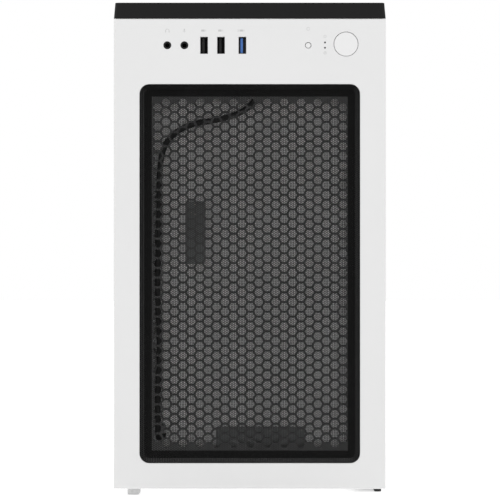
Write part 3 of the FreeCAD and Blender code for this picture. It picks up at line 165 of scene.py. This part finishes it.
def finish(name, colour, rough, metallic=0.0, grain=1400.0, depth=0.02, vary=0.05, edge=1.12,
           edge_rough=-0.1, bevel=0.35, spread=0.08, **extra):
    """Moulded, painted or plated surface: fine grain, slow colour and gloss changes, worn edges."""
    mat, tree, bsdf = setup(name, Metallic=metallic, **extra)
    space = coords(tree)
    middle = noise(tree, space, 90.0, 4.0)
    worn, rounded = edge_mask(tree, bevel * MM)
    patch = math_node(tree, "MULTIPLY", worn, remap(tree, noise(tree, space, 220.0), 0.35, 0.65, 0.2, 1.0))
    base = shades(tree, slow_change(tree, space, 14.0), colour, 1 - vary, 1 + vary)
    full = mix_colour(tree, patch, base, scaled(colour, edge))
    tree.links.new(full, bsdf.inputs["Base Color"])
    gloss = remap(tree, middle, 0.3, 0.7, rough - spread, rough + spread)
    gloss = math_node(tree, "ADD", gloss, math_node(tree, "MULTIPLY", patch, edge_rough))
    tree.links.new(gloss, bsdf.inputs["Roughness"])
    relief(tree, bsdf, noise(tree, space, grain, 2.0), depth, 1.0, rounded)
    return mat


def brushed(name, colour, rough, axis, grain=1800.0):
    """Metal drawn or extruded along one axis (0, 1 or 2)."""
    stretch = [1.0, 1.0, 1.0]
    stretch[axis] = 0.02
    mat, tree, bsdf = setup(name, Metallic=1.0)
    space = coords(tree, stretch)
    lines = noise(tree, space, grain, 3.0, 0.7)
    worn, rounded = edge_mask(tree, 0.25 * MM)
    base = shades(tree, slow_change(tree, coords(tree), 25.0), colour, 0.9, 1.06)
    full = mix_colour(tree, worn, base, scaled(colour, 1.25))
    tree.links.new(full, bsdf.inputs["Base Color"])
    tree.links.new(remap(tree, lines, 0.3, 0.7, rough - 0.08, rough + 0.1), bsdf.inputs["Roughness"])
    relief(tree, bsdf, lines, 0.02, 0.5, rounded)
    return mat


def circuit(name, colour, trace, direction=(2, 1)):
    """Solder mask with raised tracks and plated through-holes."""
    mat, tree, bsdf = setup(name, **{"Coat Weight": 0.25, "Coat Roughness": 0.2})
    space = coords(tree)
    separate = add(tree, "ShaderNodeSeparateXYZ", {"Vector": space})
    parts = [separate.outputs[i] for i in direction]
    flat = add(tree, "ShaderNodeCombineXYZ", {"X": parts[0], "Y": parts[1]}).outputs[0]
    grid = {"Vector": flat, "Scale": 34.0, "Randomness": 0.9}
    cells = add(tree, "ShaderNodeTexVoronoi", grid, distance="CHEBYCHEV").outputs["Distance"]
    lines = math_node(tree, "FRACT", math_node(tree, "MULTIPLY", cells, 19.0))
    centred = math_node(tree, "ABSOLUTE", math_node(tree, "SUBTRACT", lines, 0.5))
    tracks = remap(tree, centred, 0.2, 0.26, 0.0, 1.0)
    dots = add(tree, "ShaderNodeTexVoronoi", {"Vector": flat, "Scale": 320.0, "Randomness": 0.7})
    vias = remap(tree, dots.outputs["Distance"], 0.1, 0.14, 1.0, 0.0)
    region = remap(tree, noise(tree, flat, 30.0), 0.48, 0.52, 0.0, 1.0)
    tracks = math_node(tree, "MULTIPLY", tracks, region)
    vias = math_node(tree, "MULTIPLY", vias, math_node(tree, "SUBTRACT", 1.0, region))
    base = mix_colour(tree, tracks, colour, trace)
    base = mix_colour(tree, vias, base, (0.55, 0.5, 0.4, 1.0))
    tree.links.new(base, bsdf.inputs["Base Color"])
    tree.links.new(remap(tree, noise(tree, space, 60.0), 0.3, 0.7, 0.34, 0.5), bsdf.inputs["Roughness"])
    height = math_node(tree, "ADD", tracks, vias)
    relief(tree, bsdf, height, 0.04, 0.6)
    return mat


def glass_panel(name, node):
    """Smoke-tinted tempered glass with a printed black border and faint dust."""
    mat, tree, bsdf = setup(name, IOR=1.5, Metallic=0.0)
    space = coords(tree)
    edge = outside_border(tree, space, node, (1, 2), GLASS_BORDER)
    border = remap(tree, edge, -0.0001, 0.0001, 0.0, 1.0)
    tint = mix_colour(tree, border, (0.5, 0.51, 0.52, 1.0), (0.006, 0.006, 0.006, 1.0))
    dust_and_sheen = noise(tree, space, 40.0, 6.0, 0.65)
    tree.links.new(tint, bsdf.inputs["Base Color"])
    clear = math_node(tree, "SUBTRACT", 1.0, border)
    tree.links.new(clear, bsdf.inputs["Transmission Weight"])
    tree.links.new(remap(tree, dust_and_sheen, 0.4, 0.75, 0.01, 0.06), bsdf.inputs["Roughness"])
    return mat


def braid(name, colour):
    """Sleeved cable: fine woven bumps, lighter on their tops and darker in the creases between them, a painted
    highlight and shade.
    """
    mat, tree, bsdf = setup(name, Roughness=0.65)
    space = coords(tree)
    weave = add(tree, "ShaderNodeTexVoronoi", {"Vector": space, "Scale": 900.0, "Randomness": 0.35})
    shade = remap(tree, weave.outputs["Distance"], 0.1, 0.7, 0.0, 1.0)
    # Painted highlight on the bump tops and painted shade in the creases between them
    tree.links.new(shades(tree, shade, colour, 1.7, 0.6), bsdf.inputs["Base Color"])
    relief(tree, bsdf, weave.outputs["Distance"], 0.2, 0.7).invert = True
    return mat


def net(name, colour, directions=("X", "Y")):
    """Dust net: a fine square weave on the filters' sheet."""
    mat, tree, bsdf = setup(name, Roughness=0.55)
    space = coords(tree)
    waves = []
    for axis in directions:
        made = add(tree, "ShaderNodeTexWave", {"Vector": space, "Scale": 160.0}, bands_direction=axis)
        waves.append(made.outputs["Fac"])
    weave = math_node(tree, "MAXIMUM", *waves)
    slow = remap(tree, noise(tree, space, 20.0), 0.3, 0.7, 0.85, 1.2)
    tree.links.new(shades(tree, weave, colour, 0.35, 1.6), bsdf.inputs["Base Color"])
    tree.links.new(math_node(tree, "MULTIPLY", slow, 0.55), bsdf.inputs["Roughness"])
    relief(tree, bsdf, weave, 0.15, 0.6, edge_mask(tree, 0.4 * MM)[1])
    return mat


def mesh_paint(name, colour, dust_and_sheen_colour):
    """Black powder coat of the front mesh, paler where the rim slopes up or sideways: partly dust, partly a
    painted highlight of the rim slopes.
    """
    mat, tree, bsdf = setup(name, Roughness=0.45)
    bsdf.inputs["Specular IOR Level"].default_value = 0.05
    space = coords(tree)
    normal = add(tree, "ShaderNodeNewGeometry").outputs["Normal"]
    axes = add(tree, "ShaderNodeSeparateXYZ", {"Vector": normal})
    sideways = math_node(tree, "MULTIPLY", math_node(tree, "ABSOLUTE", axes.outputs[0]), 0.6)
    facing = math_node(tree, "MAXIMUM", axes.outputs[2], sideways)
    speck = remap(tree, noise(tree, space, 700.0, 4.0), 0.35, 0.65, 0.55, 1.0)
    # Painted highlight with some dust: full strength on up-facing slopes, weaker on sideways ones
    dust_and_sheen = math_node(tree, "MULTIPLY", remap(tree, facing, 0.15, 0.6, 0.0, 1.0), speck)
    slow = shades(tree, slow_change(tree, space, 40.0), colour, 0.85, 1.15)
    tree.links.new(mix_colour(tree, dust_and_sheen, slow, dust_and_sheen_colour), bsdf.inputs["Base Color"])
    tree.links.new(remap(tree, noise(tree, space, 300.0), 0.3, 0.7, 0.38, 0.52), bsdf.inputs["Roughness"])
    relief(tree, bsdf, noise(tree, space, 2600.0, 2.0), 0.01)
    return mat


def framed(name, web, frame_colour, node, border):
    """Moulded grille: grey web inside a black frame of a given width."""
    mat, tree, bsdf = setup(name, Roughness=0.5, **DULL)
    space = coords(tree)
    outer = remap(tree, outside_border(tree, space, node, (0, 2), border), -0.0002, 0.0002, 0.0, 1.0)
    worn, rounded = edge_mask(tree, 0.25 * MM)
    base = shades(tree, slow_change(tree, space, 60.0), web, 0.92, 1.08)
    base = mix_colour(tree, worn, base, scaled(web, 1.3))
    tree.links.new(mix_colour(tree, outer, base, frame_colour), bsdf.inputs["Base Color"])
    tree.links.new(remap(tree, noise(tree, space, 300.0), 0.3, 0.7, 0.42, 0.58), bsdf.inputs["Roughness"])
    relief(tree, bsdf, noise(tree, space, 1900.0), 0.015, 1.0, rounded)
    return mat


def front_colour_shaded_behind(name, front, shade_colour, node, reach):
    """Plastic of one colour at its front; from a depth behind the node's front on, it takes a second colour,
    which is painted shade deep in its recess.
    """
    mat, tree, bsdf = setup(name, Roughness=0.4)
    space = coords(tree)
    depth = add(tree, "ShaderNodeSeparateXYZ", {"Vector": space}).outputs[1]
    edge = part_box(node)[0][1] + reach
    shaded_part = remap(tree, depth, edge - 0.0001, edge + 0.0001, 0.0, 1.0)
    lit = shades(tree, slow_change(tree, space, 200.0), front, 0.9, 1.1)
    tree.links.new(mix_colour(tree, shaded_part, lit, shade_colour), bsdf.inputs["Base Color"])
    worn, rounded = edge_mask(tree, 0.15 * MM)
    tree.links.new(remap(tree, worn, 0.0, 1.0, 0.42, 0.3), bsdf.inputs["Roughness"])
    relief(tree, bsdf, noise(tree, space, 1500.0), 0.01, 1.0, rounded)
    return mat


# ---- materials -----------------------------------------------------------
GLASS_BORDER = 16.5 * MM         # width of the glass panel's printed edge
GRILLE_BORDER = 12.6 * MM         # width of the grille's plain black frame
WHITE = finish("white_front", rgb(196), 0.42, grain=1500.0, depth=0.012, vary=0.008, edge=1.03, bevel=0.5)
WHITE_BUTTON = finish("white_button", rgb(200), 0.36, grain=1500.0, depth=0.008, vary=0.008, edge=1.03)
STEEL = finish("white_steel", rgb(198), 0.5, grain=620.0, depth=0.05, vary=0.012, edge=1.02, bevel=0.3)
INNER = finish("inner_steel", rgb(222), 0.55, grain=620.0, depth=0.05, vary=0.012, edge=1.02, bevel=0.3)
# The second colour is the dust and painted highlight on the rim slopes of the mesh
MESH = mesh_paint("black_mesh", rgb(15), rgb(70))
HONEY = framed("black_grille", rgb(88), rgb(8), "honeycomb_grille", GRILLE_BORDER)
BLACK = finish("black_plastic", rgb(34), 0.5, grain=1300.0, depth=0.03, vary=0.06, edge=1.6, **DULL)
BAND = finish("black_cover", rgb(19), 0.5, grain=1500.0, depth=0.03, vary=0.06, edge=1.9, bevel=0.6, **DULL)
BLACK_STEEL = finish("black_steel", rgb(32), 0.48, grain=600.0, depth=0.06, vary=0.08, edge=1.6, **DULL)
GREY = finish("grey_foot", rgb(200), 0.5, vary=0.03, edge=1.05, bevel=0.5)
RUBBER = finish("rubber", rgb(30), 0.82, grain=700.0, depth=0.06, vary=0.1, edge=1.3, edge_rough=-0.05)
FAN = finish("white_fan", rgb(225), 0.38, vary=0.015, edge=1.03, bevel=0.4)
PLATED = finish("plated_steel", (0.6, 0.59, 0.56, 1.0), 0.28, 1.0, 900.0, 0.01, 0.08, 1.2, bevel=0.25)
# Socket shells in a near-black metal colour, as dark as the socket holes look
PORT = finish("dark_socket_metal", (0.12, 0.12, 0.125, 1.0), 0.35, 1.0, 900.0, 0.01, 0.08, 1.3, bevel=0.2)
SCREW = finish("black_zinc", (0.07, 0.07, 0.075, 1.0), 0.32, 0.9, 1500.0, 0.01, 0.15, 2.2, bevel=0.3)
BRASS = finish("brass", (0.62, 0.45, 0.18, 1.0), 0.3, 1.0, 900.0, 0.01, 0.08, 1.15, bevel=0.2)
CAST = finish("cast_aluminium", (0.5, 0.51, 0.52, 1.0), 0.45, 1.0, 500.0, 0.08, 0.06, 1.3, bevel=0.5)
SINK = brushed("extruded_aluminium", (0.66, 0.67, 0.68, 1.0), 0.32, 0)
# Blue front of the fast port's tongue; deeper in the socket it is painted near-black as shade
BLUE = front_colour_shaded_behind("blue_tongue", (0.035, 0.13, 0.4, 1.0), (0.006, 0.006, 0.006, 1.0), "usb_fast_tongue",
                8.6 * MM)
CLEAR = finish("light_pipe", (0.03, 0.03, 0.032, 1.0), 0.12, bevel=0.1, depth=0.002, edge=1.5)
CLIP = finish("grey_clip", rgb(176), 0.45, vary=0.03, edge=1.1, bevel=0.2)
BOARD = circuit("board_mask", (0.012, 0.014, 0.016, 1.0), (0.03, 0.034, 0.038, 1.0))
HUB_BOARD = circuit("hub_board_mask", (0.15, 0.155, 0.155, 1.0), (0.2, 0.21, 0.21, 1.0), (0, 2))
MODULE = circuit("module_mask", (0.01, 0.05, 0.025, 1.0), (0.02, 0.09, 0.045, 1.0), (2, 0))
LEADS = braid("lead_sleeve", (0.005, 0.005, 0.005, 1.0))
RED = finish("data_lead", (0.35, 0.02, 0.015, 1.0), 0.4, vary=0.06, edge=1.2, depth=0.02)
NET = net("dust_net", rgb(40))
PALE_NET = net("pale_net", rgb(245), ("X", "Z"))
GLASS = glass_panel("smoked_glass", "left_glass")
MARKS = finish("grey_print", rgb(168), 0.6, grain=2500.0, depth=0.004, vary=0.05, edge=1.0)
CHIP = finish("chip_epoxy", rgb(34), 0.55, grain=2200.0, depth=0.02, vary=0.1, edge=1.6, bevel=0.15)
CAN = finish("capacitor_can", (0.62, 0.63, 0.64, 1.0), 0.25, 1.0, 1200.0, 0.008, 0.05, 1.2, bevel=0.3)
CHOKE = finish("choke_ferrite", rgb(70), 0.6, grain=900.0, depth=0.05, vary=0.1, edge=1.4, bevel=0.3)

LOOKS = {
    "bezel": WHITE, "mesh_panel": MESH, "honeycomb_grille": HONEY, "light_pipes": CLEAR,
    "power_button": WHITE_BUTTON, "reset_button": WHITE_BUTTON, "front_boards": HUB_BOARD,
    "front_net": PALE_NET, "usb_shells": PORT, "usb_tongues": BLACK, "usb_fast_tongue": BLUE,
    "audio_jacks": BLACK, "switches": BLACK, "front_plate": INNER, "base_plate": INNER,
    "top_plate": INNER, "rear_panel": STEEL, "mb_tray": INNER, "psu_shroud": INNER, "top_cover": BAND,
    "top_filter": NET, "psu_filter": NET, "feet_left": GREY, "feet_right": RUBBER, "left_glass": GLASS,
    "left_rails": BLACK_STEEL, "left_thumbscrews": SCREW, "right_panel": STEEL,
    "right_thumbscrews": SCREW, "rear_fan_frame": FAN, "rear_fan_rotor": FAN, "cooler_fan_frame": FAN,
    "cooler_rotor": FAN, "cooler_heatsink": SINK, "motherboard": BOARD, "standoffs": BRASS,
    "cpu_socket": PLATED, "board_slots": BLACK, "ram_modules": MODULE, "ram_latch_1": CLIP,
    "ram_latch_2": CLIP, "board_heatsinks": SINK, "rear_ports": PLATED, "io_shield": PLATED,
    "board_headers": BLACK, "ssd_module": MODULE, "expansion_covers": STEEL, "case_screws": SCREW,
    "psu_case": BLACK_STEEL, "psu_rotor": BLACK, "psu_board": MODULE, "psu_inlet": BLACK,
    "psu_switch": BLACK, "drive_cage": INNER, "drive_tray": BLACK, "hard_drive": CAST,
    "lead_plugs": BLACK, "front_io_leads": LEADS, "atx_cable": LEADS, "sata_cable": RED,
}
for node_name, look in LOOKS.items():
    mesh = NODES[node_name].data
    mesh.materials.clear()
    mesh.materials.append(look)


# ---- camera --------------------------------------------------------------
PHOTO_WIDTH = 0.37825            # width of the view at the front of the object
DISTANCE = 1.6
VIEW_Z = 0.1888


def place_camera():
    camera = bpy.data.objects.new("camera", bpy.data.cameras.new("camera"))
    bpy.context.collection.objects.link(camera)
    camera.data.sensor_width = 36.0
    camera.data.lens = 36.0 * DISTANCE / PHOTO_WIDTH
    camera.location = (0.00015, cad_box[0][1] - DISTANCE, VIEW_Z)
    camera.rotation_euler = (math.radians(90), 0, 0)
    bpy.context.scene.camera = camera


place_camera()


# ---- leads ---------------------------------------------------------------
ROUTES = {
    "front_io_leads": (
        (0.01, -0.1683, 0.327), (0.01, -0.1683, 0.314), (0, -0.1683, 0.296), (-0.022, -0.1683, 0.288),
        (-0.047, -0.1683, 0.285), (-0.0655, -0.1683, 0.272), (-0.0695, -0.1683, 0.245),
        (-0.069, -0.1683, 0.205), (-0.0705, -0.1683, 0.16), (-0.0685, -0.1683, 0.115),
        (-0.07, -0.1683, 0.08), (-0.07, -0.1683, 0.045), (-0.07, -0.137, 0.044), (-0.04, -0.134, 0.047),
        (0, -0.136, 0.054), (0.04, -0.134, 0.068), (0.056, -0.132, 0.1), (0.06, -0.112, 0.124),
        (0.058, -0.088, 0.132), (0.05, -0.066, 0.124), (0.0515, -0.053, 0.1113), (0.0619, -0.053, 0.1113),
    ),
    "atx_cable": (
        (0.036, 0.0314, 0.073), (0.036, 0.012, 0.073), (0.056, -0.008, 0.07), (0.08, -0.021, 0.08),
        (0.088, -0.026, 0.112), (0.088, -0.035, 0.16), (0.0875, -0.054, 0.214), (0.0875, -0.082, 0.26),
        (0.068, -0.093, 0.27), (0.052, -0.094, 0.266), (0.04, -0.087, 0.264), (0.035, -0.078, 0.2625),
        (0.0344, -0.0692, 0.262), (0.0399, -0.0632, 0.262), (0.0479, -0.0632, 0.262),
    ),
    "sata_cable": (
        (-0.083, -0.088, 0.025), (-0.088, -0.088, 0.025), (-0.091, -0.08, 0.028), (-0.091, -0.066, 0.033),
        (-0.09, -0.036, 0.046), (-0.08, 0, 0.062), (-0.04, 0.016, 0.07), (0.012, 0.01, 0.066),
        (0.05, -0.022, 0.064), (0.082, -0.048, 0.076), (0.089, -0.056, 0.108), (0.088, -0.066, 0.138),
        (0.086, -0.086, 0.164), (0.066, -0.092, 0.174), (0.048, -0.08, 0.187), (0.044, -0.07, 0.197),
        (0.0475, -0.0645, 0.204), (0.0549, -0.0645, 0.204),
    ),
}


def lead(node, name, diameter, material):
    """Smooth lead along its route, in place of its plain tube."""
    curve = bpy.data.curves.new(name, "CURVE")
    curve.dimensions = "3D"
    spline = curve.splines.new("NURBS")
    route = ROUTES[node]
    spline.points.add(len(route) - 1)
    for point, place in zip(spline.points, route):
        point.co = (*place, 1.0)
    spline.order_u = 3
    spline.use_endpoint_u = True
    spline.resolution_u = 12
    curve.bevel_depth = diameter / 2
    curve.bevel_resolution = 4
    curve.use_fill_caps = True
    curve.materials.append(material)
    obj = bpy.data.objects.new(name, curve)
    bpy.context.collection.objects.link(obj)
    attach(obj, "chassis")
    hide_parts(node)


lead("front_io_leads", "front_lead_bundle", 0.0044, LEADS)
lead("atx_cable", "main_power_lead", 0.0072, LEADS)
lead("sata_cable", "data_lead", 0.0032, RED)


# ---- making pieces ------------------------------------------------------
def piece(name, verts, faces, material, body, replaced=()):
    mesh = bpy.data.meshes.new(name)
    mesh.from_pydata([tuple(v) for v in verts], [], [tuple(f) for f in faces])
    mesh.validate()
    mesh.update()
    mesh.materials.append(material)
    obj = bpy.data.objects.new(name, mesh)
    bpy.context.collection.objects.link(obj)
    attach(obj, body)
    if replaced:
        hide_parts(*replaced)
    return obj


# ---- perforated front mesh ----------------------------------------------
PITCH = 1.47 * MM                # between holes of one column
COLUMN = 1.283 * MM              # between columns
HOLE = 0.68 * MM                 # corner radius of a hole
FLANGE = 3.5 * MM
RIM = 3.5 * MM
SINK_DEPTH = 2.6 * MM
SHEET_T = 0.45 * MM
WINDOW_R = 7.5 * MM
TILES = 6


def window_depth(x, z, low, high):
    """How far a point lies inside the rounded window of the front."""
    cx, cz = (low[0] + high[0]) / 2, (low[2] + high[2]) / 2
    hx, hz = (high[0] - low[0]) / 2 - FLANGE, (high[2] - low[2]) / 2 - FLANGE
    qx, qz = np.abs(x - cx) - (hx - WINDOW_R), np.abs(z - cz) - (hz - WINDOW_R)
    outside = np.hypot(np.maximum(qx, 0), np.maximum(qz, 0))
    return WINDOW_R - outside - np.minimum(np.maximum(qx, qz), 0)


def perforated_mesh():
    low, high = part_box("mesh_panel")
    columns = int((high[0] - low[0]) / COLUMN) + 2
    rows = int((high[2] - low[2]) / PITCH) + 3
    corners = [(2 / 3, 0.0), (1 / 3, 0.5), (-1 / 3, 0.5), (-2 / 3, 0.0), (-1 / 3, -0.5), (1 / 3, -0.5)]
    step = math.ceil(columns / TILES)
    for tile in range(TILES):
        index, verts, faces = {}, [], []

        def vertex(x, z, key):
            if key not in index:
                index[key] = len(verts)
                verts.append((min(max(x, low[0]), high[0]), min(max(z, low[2]), high[2])))
            return index[key]

        for i in range(tile * step, min((tile + 1) * step, columns)):
            cx = low[0] + (i + 0.25) * COLUMN
            for j in range(-1, rows):
                cz = low[2] + (j + (i % 2) / 2 + 0.2) * PITCH
                if not (low[0] - 0.3 * COLUMN < cx < high[0] + 0.3 * COLUMN):
                    continue
                if not (low[2] - 0.4 * PITCH < cz < high[2] + 0.4 * PITCH):
                    continue
                outer = []
                for u, v in corners:
                    x, z = cx + u * COLUMN, cz + v * PITCH
                    outer.append(vertex(x, z, (round(3 * x / COLUMN), round(4 * z / PITCH))))
                if len(set(outer)) < 6:
                    continue
                if window_depth(np.float64(cx), np.float64(cz), low, high) > -1.2 * MM:
                    inner = []
                    for k in range(6):
                        angle = math.radians(60 * k)
                        verts.append((cx + HOLE * math.cos(angle), cz + HOLE * math.sin(angle)))
                        inner.append(len(verts) - 1)
                    for k in range(6):
                        n = (k + 1) % 6
                        faces.append((outer[k], inner[k], inner[n], outer[n]))
                else:
                    faces.append(tuple(reversed(outer)))
        flat = np.array(verts)
        depth = window_depth(flat[:, 0], flat[:, 1], low, high)
        y = low[1] + 0.1 * MM + np.clip(depth / RIM, 0.0, 1.0) * SINK_DEPTH
        points = np.column_stack([flat[:, 0], y, flat[:, 1]])
        names = ["mesh_panel"] if tile == 0 else []
        obj = piece("front_mesh_%d" % (tile + 1), points.tolist(), faces, MESH, "front_panel",
                    names)
        solid = obj.modifiers.new("thickness", "SOLIDIFY")
        solid.thickness = SHEET_T
        solid.offset = -1.0


perforated_mesh()


# ---- printed marks of the sockets ---------------------------------------
def bar(shape, x0, x1, z0, z1):
    verts, faces = shape
    n = len(verts)
    verts += [(x0, z0), (x1, z0), (x1, z1), (x0, z1)]
    faces.append((n, n + 1, n + 2, n + 3))


def arc(shape, x, z, r, width, start, end, steps=18):
    """Part of a flat ring, from one angle to another in degrees."""
    verts, faces = shape
    for i in range(steps + 1):
        a = math.radians(start + (end - start) * i / steps)
        for q in (r - width / 2, r + width / 2):
            verts.append((x + q * math.cos(a), z + q * math.sin(a)))
        if i:
            n = len(verts)
            faces.append((n - 4, n - 3, n - 1, n - 2))


def socket_marks():
    """Small generic pictograms above the sockets, the reset button and the lamps."""
    shape = ([], [])
    w = 0.32
    top = 354.8
    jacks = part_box("audio_jacks")
    phones, mic = jacks[0][0] / MM + 4.0, jacks[1][0] / MM - 4.0
    arc(shape, phones, top - 0.2, 1.35, w, 0, 180)
    for side in (-1, 1):
        bar(shape, phones + side * 1.35 - 0.3, phones + side * 1.35 + 0.3, top - 1.4, top - 0.1)
    bar(shape, mic - 0.45, mic + 0.45, top - 0.1, top + 1.3)
    arc(shape, mic, top + 0.2, 1.0, 0.25, 200, 340)
    bar(shape, mic - 0.12, mic + 0.12, top - 1.4, top - 0.7)
    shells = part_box("usb_shells")
    first, last = shells[0][0] / MM + 2.85, shells[1][0] / MM - 2.85
    for x, fast in ((first, 0), (first + 12.8, 0), (last, 1)):
        bar(shape, x - 2.1, x + 0.4, top - 0.75, top + 0.75)
        bar(shape, x + 0.7, x + 1.7, top + 0.2, top + 0.5)
        bar(shape, x + 0.7, x + 1.7, top - 0.5, top - 0.2)
        if fast:
            bar(shape, x - 3.4, x - 2.6, top - 0.15, top + 0.15)
            bar(shape, x - 3.8, x - 2.6, top + 0.45, top + 0.7)
            bar(shape, x - 3.8, x - 2.6, top - 0.7, top - 0.45)
    reset = [sum(c) / 2 / MM for c in zip(*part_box("reset_button"))]
    arc(shape, reset[0], 356.1, 1.15, 0.3, 60, 350)
    bar(shape, reset[0] + 0.55, reset[0] + 1.5, 356.6, 356.95)
    lamp = [sum(c) / 2 / MM for c in zip(*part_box("light_pipes"))]
    arc(shape, lamp[0], 350.4, 0.95, 0.28, -240, 60)
    bar(shape, lamp[0] - 0.14, lamp[0] + 0.14, 350.5, 351.7)
    arc(shape, lamp[0], 337.9, 1.0, 0.28, 0, 360)
    arc(shape, lamp[0], 337.9, 0.3, 0.25, 0, 360, 10)
    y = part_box("bezel")[0][1] - 0.01 * MM
    verts = [(u * MM, y, v * MM) for u, v in shape[0]]
    piece("socket_marks", verts, shape[1], MARKS, "front_panel")


socket_marks()


# ---- small parts of the mainboard ---------------------------------------
def bricks(name, items, material, lean=0.12):
    """Many small moulded blocks on the board's face, each with a sloped edge, as one piece."""
    x0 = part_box("motherboard")[0][0]
    verts, faces = [], []
    for y, z, w, h, t in items:
        n = len(verts)
        e = lean * min(w, h, t)
        for depth, inset in ((0.0, 0.0), (0.75, 0.0), (1.0, e)):
            for a, b in ((-1, -1), (1, -1), (1, 1), (-1, 1)):
                side, up = y + a * (w / 2 - inset), z + b * (h / 2 - inset)
                verts.append((x0 - depth * t * MM, side * MM, up * MM))
        for level in (0, 4):
            for k in range(4):
                m = (k + 1) % 4
                faces.append((n + level + k, n + level + 4 + k, n + level + 4 + m, n + level + m))
        faces.append((n + 8, n + 11, n + 10, n + 9))
    piece(name, verts, faces, material, "chassis")


def cans(name, spots, r, height):
    """Round capacitors with a groove near the board and a rounded top."""
    x0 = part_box("motherboard")[0][0]
    verts, faces = [], []
    steps = 20
    profile = [(0.0, 0.94), (0.1, 1.0), (0.16, 0.9), (0.24, 1.0), (0.93, 1.0), (1.0, 0.88), (1.0, 0.7),
               (0.98, 0.68)]
    for y, z in spots:
        start = len(verts)
        for depth, k in profile:
            for i in range(steps):
                a = 2 * math.pi * i / steps
                side, up = y + r * k * math.cos(a), z + r * k * math.sin(a)
                verts.append((x0 - depth * height * MM, side * MM, up * MM))
        for level in range(len(profile) - 1):
            for i in range(steps):
                j = (i + 1) % steps
                a = start + level * steps
                faces.append((a + i, a + steps + i, a + steps + j, a + j))
        last = start + (len(profile) - 1) * steps
        faces.append(tuple(last + steps - 1 - i for i in range(steps)))
    piece(name, verts, faces, CAN, "chassis")


def scatter(zones, count):
    """Small parts spread over free zones of the board."""
    items = []
    for y0, y1, z0, z1 in zones:
        for i in range(count):
            w, h = random.choice(((1.6, 0.9), (0.9, 1.6), (2.2, 1.3), (3.2, 1.8), (1.2, 1.2)))
            items.append((random.uniform(y0, y1), random.uniform(z0, z1), w, h, random.uniform(0.5, 1.1)))
    return items


# Along and up the board, width, height and thickness, all in millimetres.
chokes = [(146.0, 242.0 + 12.0 * i, 8.0, 8.0, 6.5) for i in range(7)]
bricks("board_chokes", chokes, CHOKE, 0.15)
big_chips = [(140.0, 116.0, 7.0, 7.0, 1.2), (-40.0, 128.0, 11.0, 11.0, 1.4), (100.0, 205.0, 9.0, 9.0, 1.2),
             (-30.0, 215.0, 6.0, 5.0, 1.1), (-20.0, 320.0, 7.0, 7.0, 1.1), (60.0, 116.0, 6.0, 6.0, 1.1),
             (-20.0, 250.0, 5.0, 4.0, 1.0), (130.0, 190.0, 9.0, 6.0, 1.2)]
bricks("board_chips", big_chips, CHIP, 0.1)
FREE = ((-50.0, 8.0, 200.0, 340.0), (82.0, 125.0, 178.0, 232.0), (12.0, 60.0, 166.0, 192.0),
        (-66.0, -50.0, 120.0, 190.0), (130.0, 150.0, 108.0, 185.0), (10.0, 90.0, 112.0, 124.0))
bricks("board_small_parts", scatter(FREE, 46), CHIP, 0.05)
tall_row = [(40.0, 246.0 + 9.0 * i) for i in range(10)]
low_row = [(140.0, 128.0 + 8.0 * i) for i in range(5)]
cans("board_capacitors", tall_row + low_row + [(0.0, 300.0), (0.0, 309.0), (-14.0, 206.0), (112.0, 112.0)],
     3.1, 8.5)


# ---- light and floor -----------------------------------------------------
FLOOR_HALF = 6.0
FLOOR_GLOW = 0.5                 # light from the table below, which keeps the shadow faint


def stage_floor():
    mesh = bpy.data.meshes.new("floor")
    corners = [(FLOOR_HALF * a, FLOOR_HALF * b, 0) for a, b in ((-1, -1), (1, -1), (1, 1), (-1, 1))]
    mesh.from_pydata(corners, [], [(0, 1, 2, 3)])
    mat, tree, bsdf = setup("floor_white", Roughness=0.7)
    pale = mix_colour(tree, slow_change(tree, coords(tree), 3.0), (0.95, 0.95, 0.95, 1), (0.97, 0.97, 0.97, 1))
    tree.links.new(pale, bsdf.inputs["Base Color"])
    bsdf.inputs["Emission Color"].default_value = (1.0, 1.0, 1.0, 1.0)
    bsdf.inputs["Emission Strength"].default_value = FLOOR_GLOW
    mesh.materials.append(mat)
    obj = bpy.data.objects.new("floor", mesh)
    bpy.context.collection.objects.link(obj)


def area_light(name, spot, aim, size, power):
    data = bpy.data.lights.new(name, "AREA")
    data.shape = "RECTANGLE"
    data.size, data.size_y = size
    data.energy = power
    obj = bpy.data.objects.new(name, data)
    obj.location = spot
    obj.rotation_euler = (Vector(aim) - Vector(spot)).to_track_quat("-Z", "Y").to_euler()
    bpy.context.collection.objects.link(obj)


stage_floor()
world = bpy.data.worlds.new("studio")
world.use_nodes = True
world.node_tree.nodes["Background"].inputs["Color"].default_value = (1.0, 1.0, 1.0, 1.0)
world.node_tree.nodes["Background"].inputs["Strength"].default_value = 1.0
bpy.context.scene.world = world
area_light("top_soft", (0.1, -0.7, 1.7), (0, 0, 0.25), (1.0, 1.0), 7.0)
area_light("left_soft", (-1.6, -0.4, 0.8), (0, 0, 0.2), (1.2, 1.2), 4.0)
area_light("right_soft", (1.6, -0.9, 0.9), (0, 0, 0.2), (1.2, 1.2), 2.0)
bpy.context.scene.view_settings.view_transform = "Standard"
